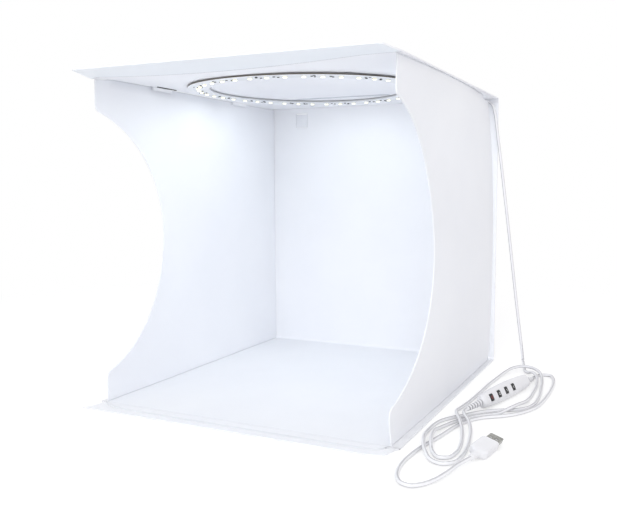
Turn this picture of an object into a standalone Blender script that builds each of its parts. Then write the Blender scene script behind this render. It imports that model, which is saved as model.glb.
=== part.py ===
"""Light tent cube: a folding box of thin white plastic sheet with an LED ring
under its lid, a cord with a button controller, and a USB plug.

Frame: metres, +Z up, X to the right seen from the open front, Y to the back.
The origin is on the ground, under the middle of the box and its two lips.
"""
import bpy
import bmesh
import math
import numpy as np
from mathutils import Matrix, Vector
from mathutils.geometry import interpolate_bezier

# Box of sheet
WIDTH = 0.308
DEPTH = 0.322
HEIGHT = 0.310
SHEET = 0.0012
GAP = 0.0003
OVERRUN = 0.002
TOP_LIP = 0.033
TOP_LIP_INSET = 0.004
TOP_LIP_CORNER = 0.005
BOTTOM_LIP = 0.022
BOTTOM_LIP_INSET = 0.003
BOTTOM_LIP_CORNER = 0.018

# Side walls and their round cut-outs
WALL_INSET = 0.007
WALL_SETBACK = 0.001
WALL_REAR_CLEARANCE = 0.0098
WALL_TOP_CLEARANCE = 0.0018
SHOULDER_RISE = 0.0015
ARC_RADIUS = 0.129
ARC_AHEAD = 0.034
ARC_HEIGHT = 0.154
ARC_FILLET = 0.006
ARC_STEPS = 30
FILLET_STEPS = 4

# Tongues of the lid that hold the walls upright
TONGUE_LENGTH = 0.030
TONGUE_DROP = 0.0036
TONGUE_PLACES = (0.076, 0.220)
TONGUE_NAMES = ("front", "back")
SLOT_WIDTH = 0.0040

# Window in the lid, and the ring of light round it
RING_X = -0.004
RING_BACK_SHARE = 0.4627
WINDOW_RADIUS = 0.099
WINDOW_CHORD = 0.081
WINDOW_STEPS = 48
BOARD_INNER = 0.1005
BOARD_OUTER = 0.1225
BOARD_THICKNESS = 0.0016
BOARD_STEPS = 64
FACE_THICKNESS = 0.0004
LED_RADIUS = 0.112
LED_COUNT = 42
LED_LENGTH = 0.0035
LED_WIDTH = 0.0028
LED_HEIGHT = 0.0008
LED_START_TURN = math.radians(4.0)
LEDS_PER_RESISTOR = 3
RESISTOR_LENGTH = 0.0020
RESISTOR_WIDTH = 0.00125
RESISTOR_HEIGHT = 0.0005
TAPE_WIDTH = 0.012
TAPE_THICKNESS = 0.0010
CONNECTOR_TURN = math.radians(55.0)
CONNECTOR_LENGTH = 0.0080
CONNECTOR_WIDTH = 0.0090
CONNECTOR_HEIGHT = 0.0036

# Backdrop hooks cut in the back panel
HOOK_WIDTH = 0.016
HOOK_HEIGHT = 0.017
HOOK_FOOT_DROP = 0.026
HOOK_INSET = 0.0494

# Cord, lead and their clips
CORD_RADIUS = 0.0016
CORD_STEP = 0.0100
LEAD_STEP = 0.0040
LEAD_END_INSET = 0.0283
CLIP_LENGTH = 0.0080
CLIP_WALL = 0.0012
LEAD_CLIP_SHARE = 0.40
LEAD_STRAIGHT = 0.0045
CORD_CLIP_INSET = 0.0260
BORE_STEPS = 16

# Controller on the cord, lying on one rounded side, placed from where the cord comes down
CONTROLLER_PLACE = (0.0451, -0.1437)
CONTROLLER_TURN = math.radians(-14.2)
CONTROLLER_ROLL = math.radians(62.0)
CONTROLLER_LENGTH = 0.096
CONTROLLER_WIDTH = 0.0155
CONTROLLER_THICKNESS = 0.0100
CONTROLLER_ROUND = 0.0044
SHELL_WALL = 0.0012
CABLE_HOLE = 0.0019
ROUND_STEPS = 6
CONTROLLER_BOARD_THICKNESS = 0.0010
BOARD_CLEARANCE = 0.0010
RIB_SPACING = 0.060
RIB_WIDTH = 0.002
RIB_HEIGHT = 0.0011
BUTTON_NAMES = ("button_power", "button_mode", "button_up", "button_down")
BUTTON_PITCH = 0.0150
BUTTON_ROW_SHIFT = -0.0130
BUTTON_LENGTH = 0.0062
BUTTON_WIDTH = 0.0070
BUTTON_PROUD = 0.0008
BUTTON_FLANGE = 0.0007
BUTTON_FLANGE_THICKNESS = 0.0005
BUTTON_TRAVEL = 0.0005
SWITCH_SIZE = 0.0045
SWITCH_HEIGHT = 0.0022

# Strain reliefs of the controller
RELIEF_LENGTH = 0.026
RELIEF_BASE_RADIUS = 0.0034
RELIEF_TIP_RADIUS = 0.0022
RELIEF_GROOVE = 0.0005
RELIEF_RIBS = 6
RELIEF_SIDES = 14
OUTLET_TIP = (0.0585, -0.0700, 0.0026)

# USB plug, placed from where the cord comes down
PLUG_PLACE = (0.0622, -0.2990)
PLUG_TURN = math.radians(-9.0)
PLUG_ROLL = math.radians(15.0)
OVERMOULD_LENGTH = 0.028
OVERMOULD_WIDTH = 0.0150
OVERMOULD_THICKNESS = 0.0080
OVERMOULD_ROUND = 0.0025
NECK_LENGTH = 0.010
NECK_RADIUS = 0.0032
NECK_TIP_RADIUS = 0.0022
SHELL_LENGTH = 0.0125
SHELL_WIDTH = 0.0120
SHELL_HEIGHT = 0.0045
SHELL_METAL = 0.0004
SHELL_HOLE = 0.0023
SHELL_HOLE_SPACING = 0.0050
SHELL_HOLE_BACK = 0.0068
PLUG_TONGUE_WIDTH = 0.0104
PLUG_TONGUE_THICKNESS = 0.0018
PLUG_TONGUE_LENGTH = 0.0105
CONTACT_COUNT = 4
CONTACT_PITCH = 0.0022
CONTACT_WIDTH = 0.0010
CONTACT_LENGTH = 0.0070
CONTACT_THICKNESS = 0.0002
CONTACT_GAP = 0.00005

# Places worked out from the sizes above
FRONT = (TOP_LIP + GAP / 2 - DEPTH) / 2
BACK = FRONT + DEPTH
INNER_BACK = BACK - SHEET
LID_UNDER = HEIGHT - SHEET
HOOK_FOOT = HEIGHT - HOOK_FOOT_DROP
WALL_OUT = WIDTH / 2 - WALL_INSET
WALL_IN = WALL_OUT - SHEET
WALL_FOOT = SHEET + GAP
WALL_FRONT = FRONT + WALL_SETBACK
WALL_LENGTH = DEPTH - SHEET - WALL_SETBACK - WALL_REAR_CLEARANCE
WALL_HEIGHT = LID_UNDER - WALL_TOP_CLEARANCE - WALL_FOOT
RING_Y = FRONT + RING_BACK_SHARE * DEPTH
TAPE_TOP = LID_UNDER - GAP
BOARD_TOP = TAPE_TOP - TAPE_THICKNESS - GAP
BOARD_UNDER = BOARD_TOP - BOARD_THICKNESS
CABLE_Z = LID_UNDER - GAP - CORD_RADIUS
CABLE_Y = INNER_BACK - WALL_REAR_CLEARANCE / 2
CORNER_X = WIDTH / 2
LEAD_REACH = BOARD_OUTER + 2 * GAP + CONNECTOR_LENGTH
LEAD_START_X = RING_X + LEAD_REACH * math.cos(CONNECTOR_TURN)
LEAD_CLIP_X = LEAD_START_X + LEAD_CLIP_SHARE * (CORNER_X - LEAD_START_X)

# The lead's way from the ring to its clip, in shares of the way right and back.
# Then the cord's way down from the lid, and on the ground from where it comes down.
LEAD_SHARES = [(0.19, 0.19), (0.39, 0.40), (0.57, 0.60), (0.73, 0.82), (0.86, 0.955),
               (0.94, 0.995)]
HANG_X = [
    -0.0280, -0.0180, -0.0120, -0.0065, -0.0030, -0.0005, 0.0020, 0.0050, 0.0090,
    0.0140, 0.0200, 0.0260, 0.0310,
]
HANG_HEIGHT_SHARES = [
    1.0000, 1.0000, 0.9971, 0.9840, 0.9514, 0.8993, 0.8407, 0.7722, 0.6745, 0.5507,
    0.3975, 0.2444, 0.1238,
]
UPPER_ROUTE = [
    (0.0345, -0.0025, 0.0170), (0.0382, -0.0125, 0.0050), (0.0425, -0.0265, 0.0016),
    (0.0450, -0.0370, 0.0016), (0.0500, -0.0450, 0.0026), (0.0550, -0.0527, 0.0053),
    (0.0600, -0.0615, 0.0060), (0.0648, -0.0750, 0.0048), (0.0673, -0.0940, 0.0020),
    (0.0683, -0.1160, 0.0016), (0.0687, -0.1380, 0.0017), (0.0676, -0.1635, 0.0042),
    (0.0646, -0.1780, 0.0058), (0.0595, -0.1910, 0.0052), (0.0520, -0.2005, 0.0024),
    (0.0425, -0.2075, 0.0016), (0.0345, -0.2150, 0.0016), (0.0285, -0.2240, 0.0016),
    (0.0230, -0.2340, 0.0016), (0.0180, -0.2465, 0.0016), (0.0150, -0.2600, 0.0024),
    (0.0150, -0.2740, 0.0050), (0.0172, -0.2890, 0.0056), (0.0213, -0.3035, 0.0048),
    (0.0270, -0.3160, 0.0020), (0.0335, -0.3225, 0.0016), (0.0400, -0.3200, 0.0016),
    (0.0430, -0.3090, 0.0016), (0.0420, -0.2920, 0.0016), (0.0382, -0.2730, 0.0016),
    (0.0330, -0.2550, 0.0034), (0.0270, -0.2410, 0.0056), (0.0215, -0.2290, 0.0059),
    (0.0175, -0.2170, 0.0052), (0.0160, -0.2040, 0.0028), (0.0166, -0.1880, 0.0016),
    (0.0182, -0.1705, 0.0016), (0.0192, -0.1510, 0.0016), (0.0200, -0.1290, 0.0016),
    (0.0210, -0.1040, 0.0016), (0.0235, -0.0770, 0.0020), (0.0275, -0.0570, 0.0038),
    (0.0330, -0.0420, 0.0054), (0.0420, -0.0325, 0.0058), (0.0510, -0.0347, 0.0058),
    (0.0590, -0.0435, 0.0058), (0.0655, -0.0570, 0.0052), (0.0700, -0.0750, 0.0025),
    (0.0728, -0.0970, 0.0016), (0.0752, -0.1180, 0.0016), (0.0765, -0.1400, 0.0016),
    (0.0758, -0.1580, 0.0016), (0.0715, -0.1720, 0.0016), (0.0630, -0.1815, 0.0016),
    (0.0535, -0.1870, 0.0016), (0.0440, -0.1930, 0.0016), (0.0360, -0.2005, 0.0016),
    (0.0290, -0.2095, 0.0016), (0.0230, -0.2185, 0.0016), (0.0160, -0.2275, 0.0016),
    (0.0100, -0.2390, 0.0016), (0.0073, -0.2540, 0.0016), (0.0076, -0.2700, 0.0020),
    (0.0103, -0.2860, 0.0046), (0.0150, -0.3035, 0.0056), (0.0215, -0.3195, 0.0042),
    (0.0300, -0.3305, 0.0019), (0.0390, -0.3337, 0.0016), (0.0465, -0.3280, 0.0016),
    (0.0490, -0.3140, 0.0016), (0.0480, -0.2940, 0.0016), (0.0448, -0.2730, 0.0018),
    (0.0400, -0.2530, 0.0032), (0.0347, -0.2400, 0.0054), (0.0288, -0.2300, 0.0068),
    (0.0257, -0.2225, 0.0074),
]
LOWER_ROUTE = [
    (0.0587, -0.0640, 0.0022), (0.0605, -0.0545, 0.0016), (0.0655, -0.0460, 0.0016),
    (0.0730, -0.0450, 0.0016), (0.0785, -0.0560, 0.0016), (0.0815, -0.0730, 0.0016),
    (0.0830, -0.0960, 0.0016), (0.0830, -0.1240, 0.0016), (0.0820, -0.1460, 0.0016),
    (0.0793, -0.1655, 0.0016), (0.0740, -0.1800, 0.0016), (0.0665, -0.1930, 0.0016),
    (0.0580, -0.2025, 0.0016), (0.0495, -0.2093, 0.0016), (0.0415, -0.2155, 0.0016),
    (0.0355, -0.2230, 0.0016), (0.0310, -0.2320, 0.0016), (0.0270, -0.2425, 0.0016),
    (0.0240, -0.2560, 0.0016), (0.0215, -0.2730, 0.0016), (0.0180, -0.2910, 0.0016),
    (0.0145, -0.3080, 0.0016), (0.0125, -0.3260, 0.0016), (0.0120, -0.3440, 0.0016),
    (0.0140, -0.3590, 0.0016), (0.0182, -0.3715, 0.0016), (0.0245, -0.3793, 0.0016),
    (0.0315, -0.3805, 0.0016), (0.0378, -0.3755, 0.0017), (0.0435, -0.3660, 0.0020),
    (0.0485, -0.3530, 0.0030), (0.0525, -0.3380, 0.0042),
]


def finish(name, colour, roughness, metallic=0.0):
    """A material with one Principled shader."""
    material = bpy.data.materials.new(name)
    material.use_nodes = True
    shader = material.node_tree.nodes["Principled BSDF"]
    shader.inputs["Base Color"].default_value = (*colour, 1.0)
    shader.inputs["Roughness"].default_value = roughness
    shader.inputs["Metallic"].default_value = metallic
    return material


def mesh_object(name, bm, material, matrix=None, smooth=False, helper=False):
    """Turn a bmesh into an object at the given place."""
    bmesh.ops.remove_doubles(bm, verts=bm.verts, dist=GAP / 30)
    bmesh.ops.recalc_face_normals(bm, faces=bm.faces)
    mesh = bpy.data.meshes.new(name)
    bm.to_mesh(mesh)
    bm.free()
    if smooth:
        mesh.shade_smooth()
        mesh.set_sharp_from_angle(angle=math.radians(40))
    thing = bpy.data.objects.new(name, mesh)
    bpy.context.scene.collection.objects.link(thing)
    if material:
        mesh.materials.append(material)
    if matrix is not None:
        thing.matrix_world = matrix
    if helper:
        thing.hide_render = True
        thing.display_type = "WIRE"
    return thing


def place(x=0.0, y=0.0, z=0.0, turn=(0.0, 0.0, 0.0)):
    """A location with a rotation in degrees about X, then Y, then Z."""
    turns = Matrix.Identity(4)
    for angle, axis in zip(turn, "XYZ"):
        turns = Matrix.Rotation(math.radians(angle), 4, axis) @ turns
    return Matrix.Translation((x, y, z)) @ turns


def add_box(bm, low, high):
    """Add a closed box between two corners."""
    low = Vector(low)
    high = Vector(high)
    matrix = Matrix.Translation((low + high) / 2) @ Matrix.Diagonal((*(high - low), 1))
    bmesh.ops.create_cube(bm, size=1, matrix=matrix)


def add_plate(bm, outline, holes, thickness, lift=0.0):
    """Add a flat plate in X and Y with holes, from lift up to lift + thickness."""
    edges = []
    for loop in (outline, *holes):
        verts = [bm.verts.new((x, y, lift)) for x, y in loop]
        edges += [bm.edges.new((a, b)) for a, b in zip(verts, verts[1:] + verts[:1])]
    faces = bmesh.ops.triangle_fill(bm, use_beauty=True, edges=edges)["geom"]
    faces = [f for f in faces if isinstance(f, bmesh.types.BMFace)]
    raised = bmesh.ops.extrude_face_region(bm, geom=faces, use_keep_orig=True)["geom"]
    moved = [v for v in raised if isinstance(v, bmesh.types.BMVert)]
    bmesh.ops.translate(bm, verts=moved, vec=(0, 0, thickness))


def plate(name, outline, holes, thickness, material, matrix, lift=0.0):
    bm = bmesh.new()
    add_plate(bm, outline, holes, thickness, lift)
    return mesh_object(name, bm, material, matrix)


def box(name, low, high, material, matrix=None, helper=False):
    bm = bmesh.new()
    add_box(bm, low, high)
    return mesh_object(name, bm, material, matrix, helper=helper)


def rectangle(x0, y0, x1, y1):
    return [(x0, y0), (x1, y0), (x1, y1), (x0, y1)]


def arc(cx, cy, radius, start, end, steps):
    """Points on an arc from one angle to another, both ends included."""
    angles = np.linspace(start, end, steps + 1)
    return [(cx + radius * math.cos(a), cy + radius * math.sin(a)) for a in angles]


def circle(cx, cy, radius, steps):
    return arc(cx, cy, radius, 0.0, math.tau, steps)[:-1]


def rounded_rectangle(width, height, radius):
    """A rectangle about its middle with four round corners."""
    x = width / 2 - radius
    y = height / 2 - radius
    points = []
    for cx, cy, quarter in ((x, y, 0), (-x, y, 1), (-x, -y, 2), (x, -y, 3)):
        start = quarter * math.pi / 2
        points += arc(cx, cy, radius, start, start + math.pi / 2, ROUND_STEPS)
    return points


def add_prism(bm, outline, low, high):
    """Add a closed prism: an outline in X and Z, run along Y."""
    loops = [[bm.verts.new((x, y, z)) for x, z in outline] for y in (low, high)]
    count = len(outline)
    bm.faces.new(loops[0])
    bm.faces.new(loops[1])
    for i in range(count):
        j = (i + 1) % count
        bm.faces.new((loops[0][i], loops[0][j], loops[1][j], loops[1][i]))


def add_sweep(bm, centres, radii, sides):
    """Add a closed round body along a line of centres, one radius at each."""
    centres = [Vector(c) for c in centres]
    loops = []
    for i, (centre, radius) in enumerate(zip(centres, radii)):
        ahead = centres[min(i + 1, len(centres) - 1)]
        behind = centres[max(i - 1, 0)]
        along = (ahead - behind).normalized()
        across = along.cross(Vector((0, 0, 1))).normalized()
        upward = across.cross(along)
        loop = []
        for k in range(sides):
            turn = math.tau * k / sides
            offset = across * math.cos(turn) + upward * math.sin(turn)
            loop.append(bm.verts.new(centre + offset * radius))
        loops.append(loop)
    bm.faces.new(loops[0])
    bm.faces.new(loops[-1])
    for a, b in zip(loops, loops[1:]):
        for k in range(sides):
            n = (k + 1) % sides
            bm.faces.new((a[k], a[n], b[n], b[k]))


def cut(target, *cutters):
    for cutter in cutters:
        boolean = target.modifiers.new("cut", "BOOLEAN")
        boolean.operation = "DIFFERENCE"
        boolean.solver = "EXACT"
        boolean.object = cutter


def join(target, *others):
    for other in others:
        boolean = target.modifiers.new("join", "BOOLEAN")
        boolean.operation = "UNION"
        boolean.solver = "EXACT"
        boolean.object = other


def smooth_points(route, step):
    """Evenly spaced points on a smooth curve through the route's points.

    Each stretch is a cubic Hermite curve whose end slopes come from the
    neighbouring points, weighted by the lengths of the chords beside them.
    """
    points = np.array(route)
    chords = np.linalg.norm(np.diff(points, axis=0), axis=1)
    runs = np.diff(points, axis=0) / chords[:, None]
    slopes = np.empty_like(points)
    slopes[0] = runs[0]
    slopes[-1] = runs[-1]
    before = chords[:-1, None]
    after = chords[1:, None]
    slopes[1:-1] = (runs[:-1] * after + runs[1:] * before) / (before + after)
    fine = []
    for i, chord in enumerate(chords):
        t = np.linspace(0, 1, 24, endpoint=False)[:, None]
        fine.append((2 * t**3 - 3 * t**2 + 1) * points[i]
                    + (t**3 - 2 * t**2 + t) * slopes[i] * chord
                    + (3 * t**2 - 2 * t**3) * points[i + 1]
                    + (t**3 - t**2) * slopes[i + 1] * chord)
    fine = np.vstack([*fine, points[-1]])
    travelled = np.concatenate([[0], np.cumsum(np.linalg.norm(np.diff(fine, axis=0), axis=1))])
    count = max(2, round(travelled[-1] / step))
    marks = np.linspace(0, travelled[-1], count + 1)
    even = np.column_stack([np.interp(marks, travelled, fine[:, k]) for k in range(3)])
    even[:, 2] = np.maximum(even[:, 2], CORD_RADIUS)
    return even, travelled[-1]


def least_gap(points):
    """Least clear distance of a cord to itself, away from its own neighbours."""
    fine = np.vstack([np.linspace(a, b, 8, endpoint=False) for a, b in zip(points, points[1:])])
    travelled = np.concatenate([[0], np.cumsum(np.linalg.norm(np.diff(fine, axis=0), axis=1))])
    apart = np.linalg.norm(fine[:, None] - fine[None], axis=2)
    far_along = np.abs(travelled[:, None] - travelled[None]) > 10 * CORD_RADIUS
    return apart[far_along].min() - 2 * CORD_RADIUS


def cord(name, route, step, material):
    """A round cord along a route, as a bevelled curve with filled caps."""
    points, length = smooth_points(route, step)
    curve = bpy.data.curves.new(name, "CURVE")
    curve.dimensions = "3D"
    curve.bevel_depth = CORD_RADIUS
    curve.bevel_resolution = 1
    curve.use_fill_caps = True
    spline = curve.splines.new("POLY")
    spline.points.add(len(points) - 1)
    for spot, point in zip(spline.points, points):
        spot.co = (*point, 1.0)
    curve.materials.append(material)
    thing = bpy.data.objects.new(name, curve)
    bpy.context.scene.collection.objects.link(thing)
    gap_mm = round(least_gap(points) * 1000, 2)
    print(name, "length", round(length, 3), "m, least gap to itself", gap_mm, "mm")
    return points


def lip_outline(reach, inset, corner):
    """A lip that narrows forward, with two round front corners, from y = 0 to -reach."""
    back = WIDTH / 2
    front = back - inset
    right = arc(front - corner, corner - reach, corner, -math.pi / 2, 0.0, ROUND_STEPS)
    left = [(-x, y) for x, y in reversed(right)]
    return [(-back, 0.0), *left, *right, (back, 0.0)]


def wall_outline():
    """A side wall from above its foot, with the round cut-out in its front edge.

    Small round corners lead from the straight front edge into the cut-out.
    """
    middle = ARC_HEIGHT - WALL_FOOT
    reach = math.sqrt((ARC_RADIUS + ARC_FILLET) ** 2 - (ARC_AHEAD + ARC_FILLET) ** 2)
    lean = math.atan2(reach, ARC_AHEAD + ARC_FILLET)
    low_fillet = arc(ARC_FILLET, middle - reach, ARC_FILLET,
                     math.pi, math.pi - lean, FILLET_STEPS)
    high_fillet = arc(ARC_FILLET, middle + reach, ARC_FILLET,
                      lean - math.pi, -math.pi, FILLET_STEPS)
    cutout = arc(-ARC_AHEAD, middle, ARC_RADIUS, lean, -lean, ARC_STEPS)
    top = []
    rise = WALL_HEIGHT + SHOULDER_RISE
    for back in reversed(TONGUE_PLACES):
        start = back - WALL_SETBACK
        top += [(start + TONGUE_LENGTH, WALL_HEIGHT), (start + TONGUE_LENGTH, rise),
                (start, rise), (start, WALL_HEIGHT)]
    outline = [(0.0, 0.0), (WALL_LENGTH, 0.0), (WALL_LENGTH, WALL_HEIGHT), *top,
               (0.0, WALL_HEIGHT)]
    outline += list(reversed(high_fillet)) + cutout[1:-1] + list(reversed(low_fillet))
    return outline


def window_outline(clearance):
    """The lid's window about the ring's middle: a circle with a straight rear side."""
    radius = WINDOW_RADIUS - clearance
    chord = WINDOW_CHORD - clearance
    end = math.asin(chord / radius)
    return arc(0.0, 0.0, radius, math.pi - end, math.tau + end, WINDOW_STEPS)


def sheets(white, tint):
    """The panels, lips, walls, flap and hooks of plastic sheet."""
    half = WIDTH / 2
    plate("bottom_panel", rectangle(-half, GAP / 2, half, DEPTH), [], SHEET, white,
          place(y=FRONT))
    plate("bottom_front_lip", lip_outline(BOTTOM_LIP, BOTTOM_LIP_INSET, BOTTOM_LIP_CORNER),
          [], SHEET, white, place(y=FRONT - GAP / 2, z=SHEET), lift=-SHEET)
    plate("top_front_lip", lip_outline(TOP_LIP, TOP_LIP_INSET, TOP_LIP_CORNER), [], SHEET,
          tint, place(y=FRONT - GAP / 2, z=LID_UNDER))

    upright = (90, 0, 0)
    hook_holes = []
    for name, side in (("left_backdrop_hook", -1), ("right_backdrop_hook", 1)):
        x = side * (half - HOOK_INSET)
        hole = rectangle(x - HOOK_WIDTH / 2 - GAP, HOOK_FOOT, x + HOOK_WIDTH / 2 + GAP,
                         HOOK_FOOT + HOOK_HEIGHT + 2 * GAP)
        hook_holes.append(hole)
        tongue = rectangle(-HOOK_WIDTH / 2, GAP, HOOK_WIDTH / 2, HOOK_HEIGHT + GAP)
        plate(name, tongue, [], SHEET, white,
              place(x=x, y=INNER_BACK, z=HOOK_FOOT, turn=upright), lift=-SHEET)
    plate("back_panel", rectangle(-half, WALL_FOOT, half, HEIGHT), hook_holes, SHEET, white,
          place(y=BACK, turn=upright))

    standing = (90, 0, 90)
    plate("left_wall", wall_outline(), [], SHEET, white,
          place(x=-WALL_OUT, y=WALL_FRONT, z=WALL_FOOT, turn=standing))
    plate("right_wall", wall_outline(), [], SHEET, white,
          place(x=WALL_OUT, y=WALL_FRONT, z=WALL_FOOT, turn=standing), lift=-SHEET)
    lid(white)
    plate("window_flap", [(x, y - WINDOW_CHORD) for x, y in window_outline(GAP)], [], SHEET,
          white, place(x=RING_X, y=RING_Y + WINDOW_CHORD, z=HEIGHT), lift=-SHEET)


def lid(white):
    """The top panel with its window and slots, and the four tongues bent down from it."""
    hinge = INNER_BACK - GAP / 2
    half = WIDTH / 2
    window = [(x + RING_X, y + RING_Y - hinge) for x, y in window_outline(0.0)]
    holes = [window]
    fold = WALL_IN - GAP
    for hand, side in (("left", -1), ("right", 1)):
        for end, back in zip(TONGUE_NAMES, TONGUE_PLACES):
            start = FRONT + back - hinge
            near = side * (fold - SHEET)
            far = side * (fold - SHEET - SLOT_WIDTH)
            holes.append(rectangle(min(near, far), start, max(near, far),
                                   start + TONGUE_LENGTH))
            low = (min(side * fold, near), start, -SHEET - TONGUE_DROP)
            high = (max(side * fold, near), start + TONGUE_LENGTH, -SHEET - GAP)
            box(f"lid_tongue_{hand}_{end}", low, high, white, place(y=hinge, z=HEIGHT))
    plate("top_panel", rectangle(-half, FRONT - hinge + GAP / 2, half, -GAP / 2), holes,
          SHEET, white, place(y=hinge, z=HEIGHT), lift=-SHEET)


def ring(dark, mask_white, tape_white, connector_white):
    """The LED ring under the lid: tape, board, and a white face with its LEDs."""
    at_board = place(RING_X, RING_Y, BOARD_UNDER)
    inner = circle(0.0, 0.0, BOARD_INNER, BOARD_STEPS)
    outer = circle(0.0, 0.0, BOARD_OUTER, BOARD_STEPS)
    plate("led_ring_board", outer, [inner], BOARD_THICKNESS, dark, at_board)
    face_low = -GAP - FACE_THICKNESS
    face = plate("led_ring_leds", outer, [inner], FACE_THICKNESS, mask_white, at_board,
                 lift=face_low)
    chips = bmesh.new()
    seat = face_low + FACE_THICKNESS / 2
    for i in range(LED_COUNT):
        turn = LED_START_TURN + math.tau * i / LED_COUNT
        add_round_the_ring(chips, turn, LED_RADIUS, LED_LENGTH, LED_WIDTH,
                           face_low - LED_HEIGHT, seat)
        if i % LEDS_PER_RESISTOR == 1:
            between = turn + math.pi / LED_COUNT
            add_round_the_ring(chips, between, LED_RADIUS, RESISTOR_LENGTH,
                               RESISTOR_WIDTH, face_low - RESISTOR_HEIGHT, seat)
    join(face, mesh_object("led_ring_chips", chips, None, at_board, helper=True))
    tape_inner = LED_RADIUS - TAPE_WIDTH / 2
    plate("led_ring_tape", circle(0.0, 0.0, tape_inner + TAPE_WIDTH, BOARD_STEPS),
          [circle(0.0, 0.0, tape_inner, BOARD_STEPS)], TAPE_THICKNESS, tape_white,
          place(RING_X, RING_Y, TAPE_TOP - TAPE_THICKNESS))
    connector = bmesh.new()
    reach = BOARD_OUTER + GAP + CONNECTOR_LENGTH / 2
    add_round_the_ring(connector, CONNECTOR_TURN, reach, CONNECTOR_WIDTH, CONNECTOR_LENGTH,
                       -CONNECTOR_HEIGHT, 0.0)
    mesh_object("led_ring_connector", connector, connector_white,
                place(RING_X, RING_Y, TAPE_TOP))


def add_round_the_ring(bm, turn, radius, along, across, low, high):
    """Add a box whose long side lies along the ring at the given turn."""
    before = len(bm.verts)
    add_box(bm, (-across / 2, -along / 2, low), (across / 2, along / 2, high))
    bm.verts.ensure_lookup_table()
    matrix = Matrix.Rotation(turn, 4, "Z") @ Matrix.Translation((radius, 0, 0))
    bmesh.ops.transform(bm, matrix=matrix, verts=bm.verts[before:])


def clips(white):
    """Saddles that hold the lead to the lid and the cord to the back panel."""
    bore = CORD_RADIUS + GAP
    spread = bore + CLIP_WALL
    for name, x, top, back in (
        ("lead_clip", LEAD_CLIP_X, TAPE_TOP, CABLE_Y + spread),
        ("cord_clip", CORNER_X - CORD_CLIP_INSET, TAPE_TOP - GAP, INNER_BACK - GAP),
    ):
        body = box(name, (0, CABLE_Y - spread, CABLE_Z - spread),
                   (CLIP_LENGTH, back, top), white, place(x=x))
        hole = bmesh.new()
        outline = circle(0.0, 0.0, bore, BORE_STEPS)
        add_prism(hole, outline, -OVERRUN, CLIP_LENGTH + OVERRUN)
        cutter = mesh_object(name + "_bore", hole, None,
                             place(x, CABLE_Y, CABLE_Z, turn=(0, 0, -90)), helper=True)
        cut(body, cutter)


def from_corner(spot):
    """A place measured from where the cord comes down, in the part's frame."""
    x, y, z = spot
    return (CORNER_X + x, CABLE_Y + y, z)


def controller_frame():
    """The controller's frame: X across its face, Y along it, Z out of its face."""
    flat = CONTROLLER_ROUND
    height = ((CONTROLLER_WIDTH / 2 - flat) * math.sin(CONTROLLER_ROLL)
              + (CONTROLLER_THICKNESS / 2 - flat) * math.cos(CONTROLLER_ROLL) + flat)
    return (Matrix.Translation(from_corner((*CONTROLLER_PLACE, height)))
            @ Matrix.Rotation(CONTROLLER_TURN, 4, "Z")
            @ Matrix.Rotation(CONTROLLER_ROLL, 4, "Y"))


def button_places():
    middle = (len(BUTTON_NAMES) - 1) / 2
    return [BUTTON_ROW_SHIFT + (i - middle) * BUTTON_PITCH for i in range(len(BUTTON_NAMES))]


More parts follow.
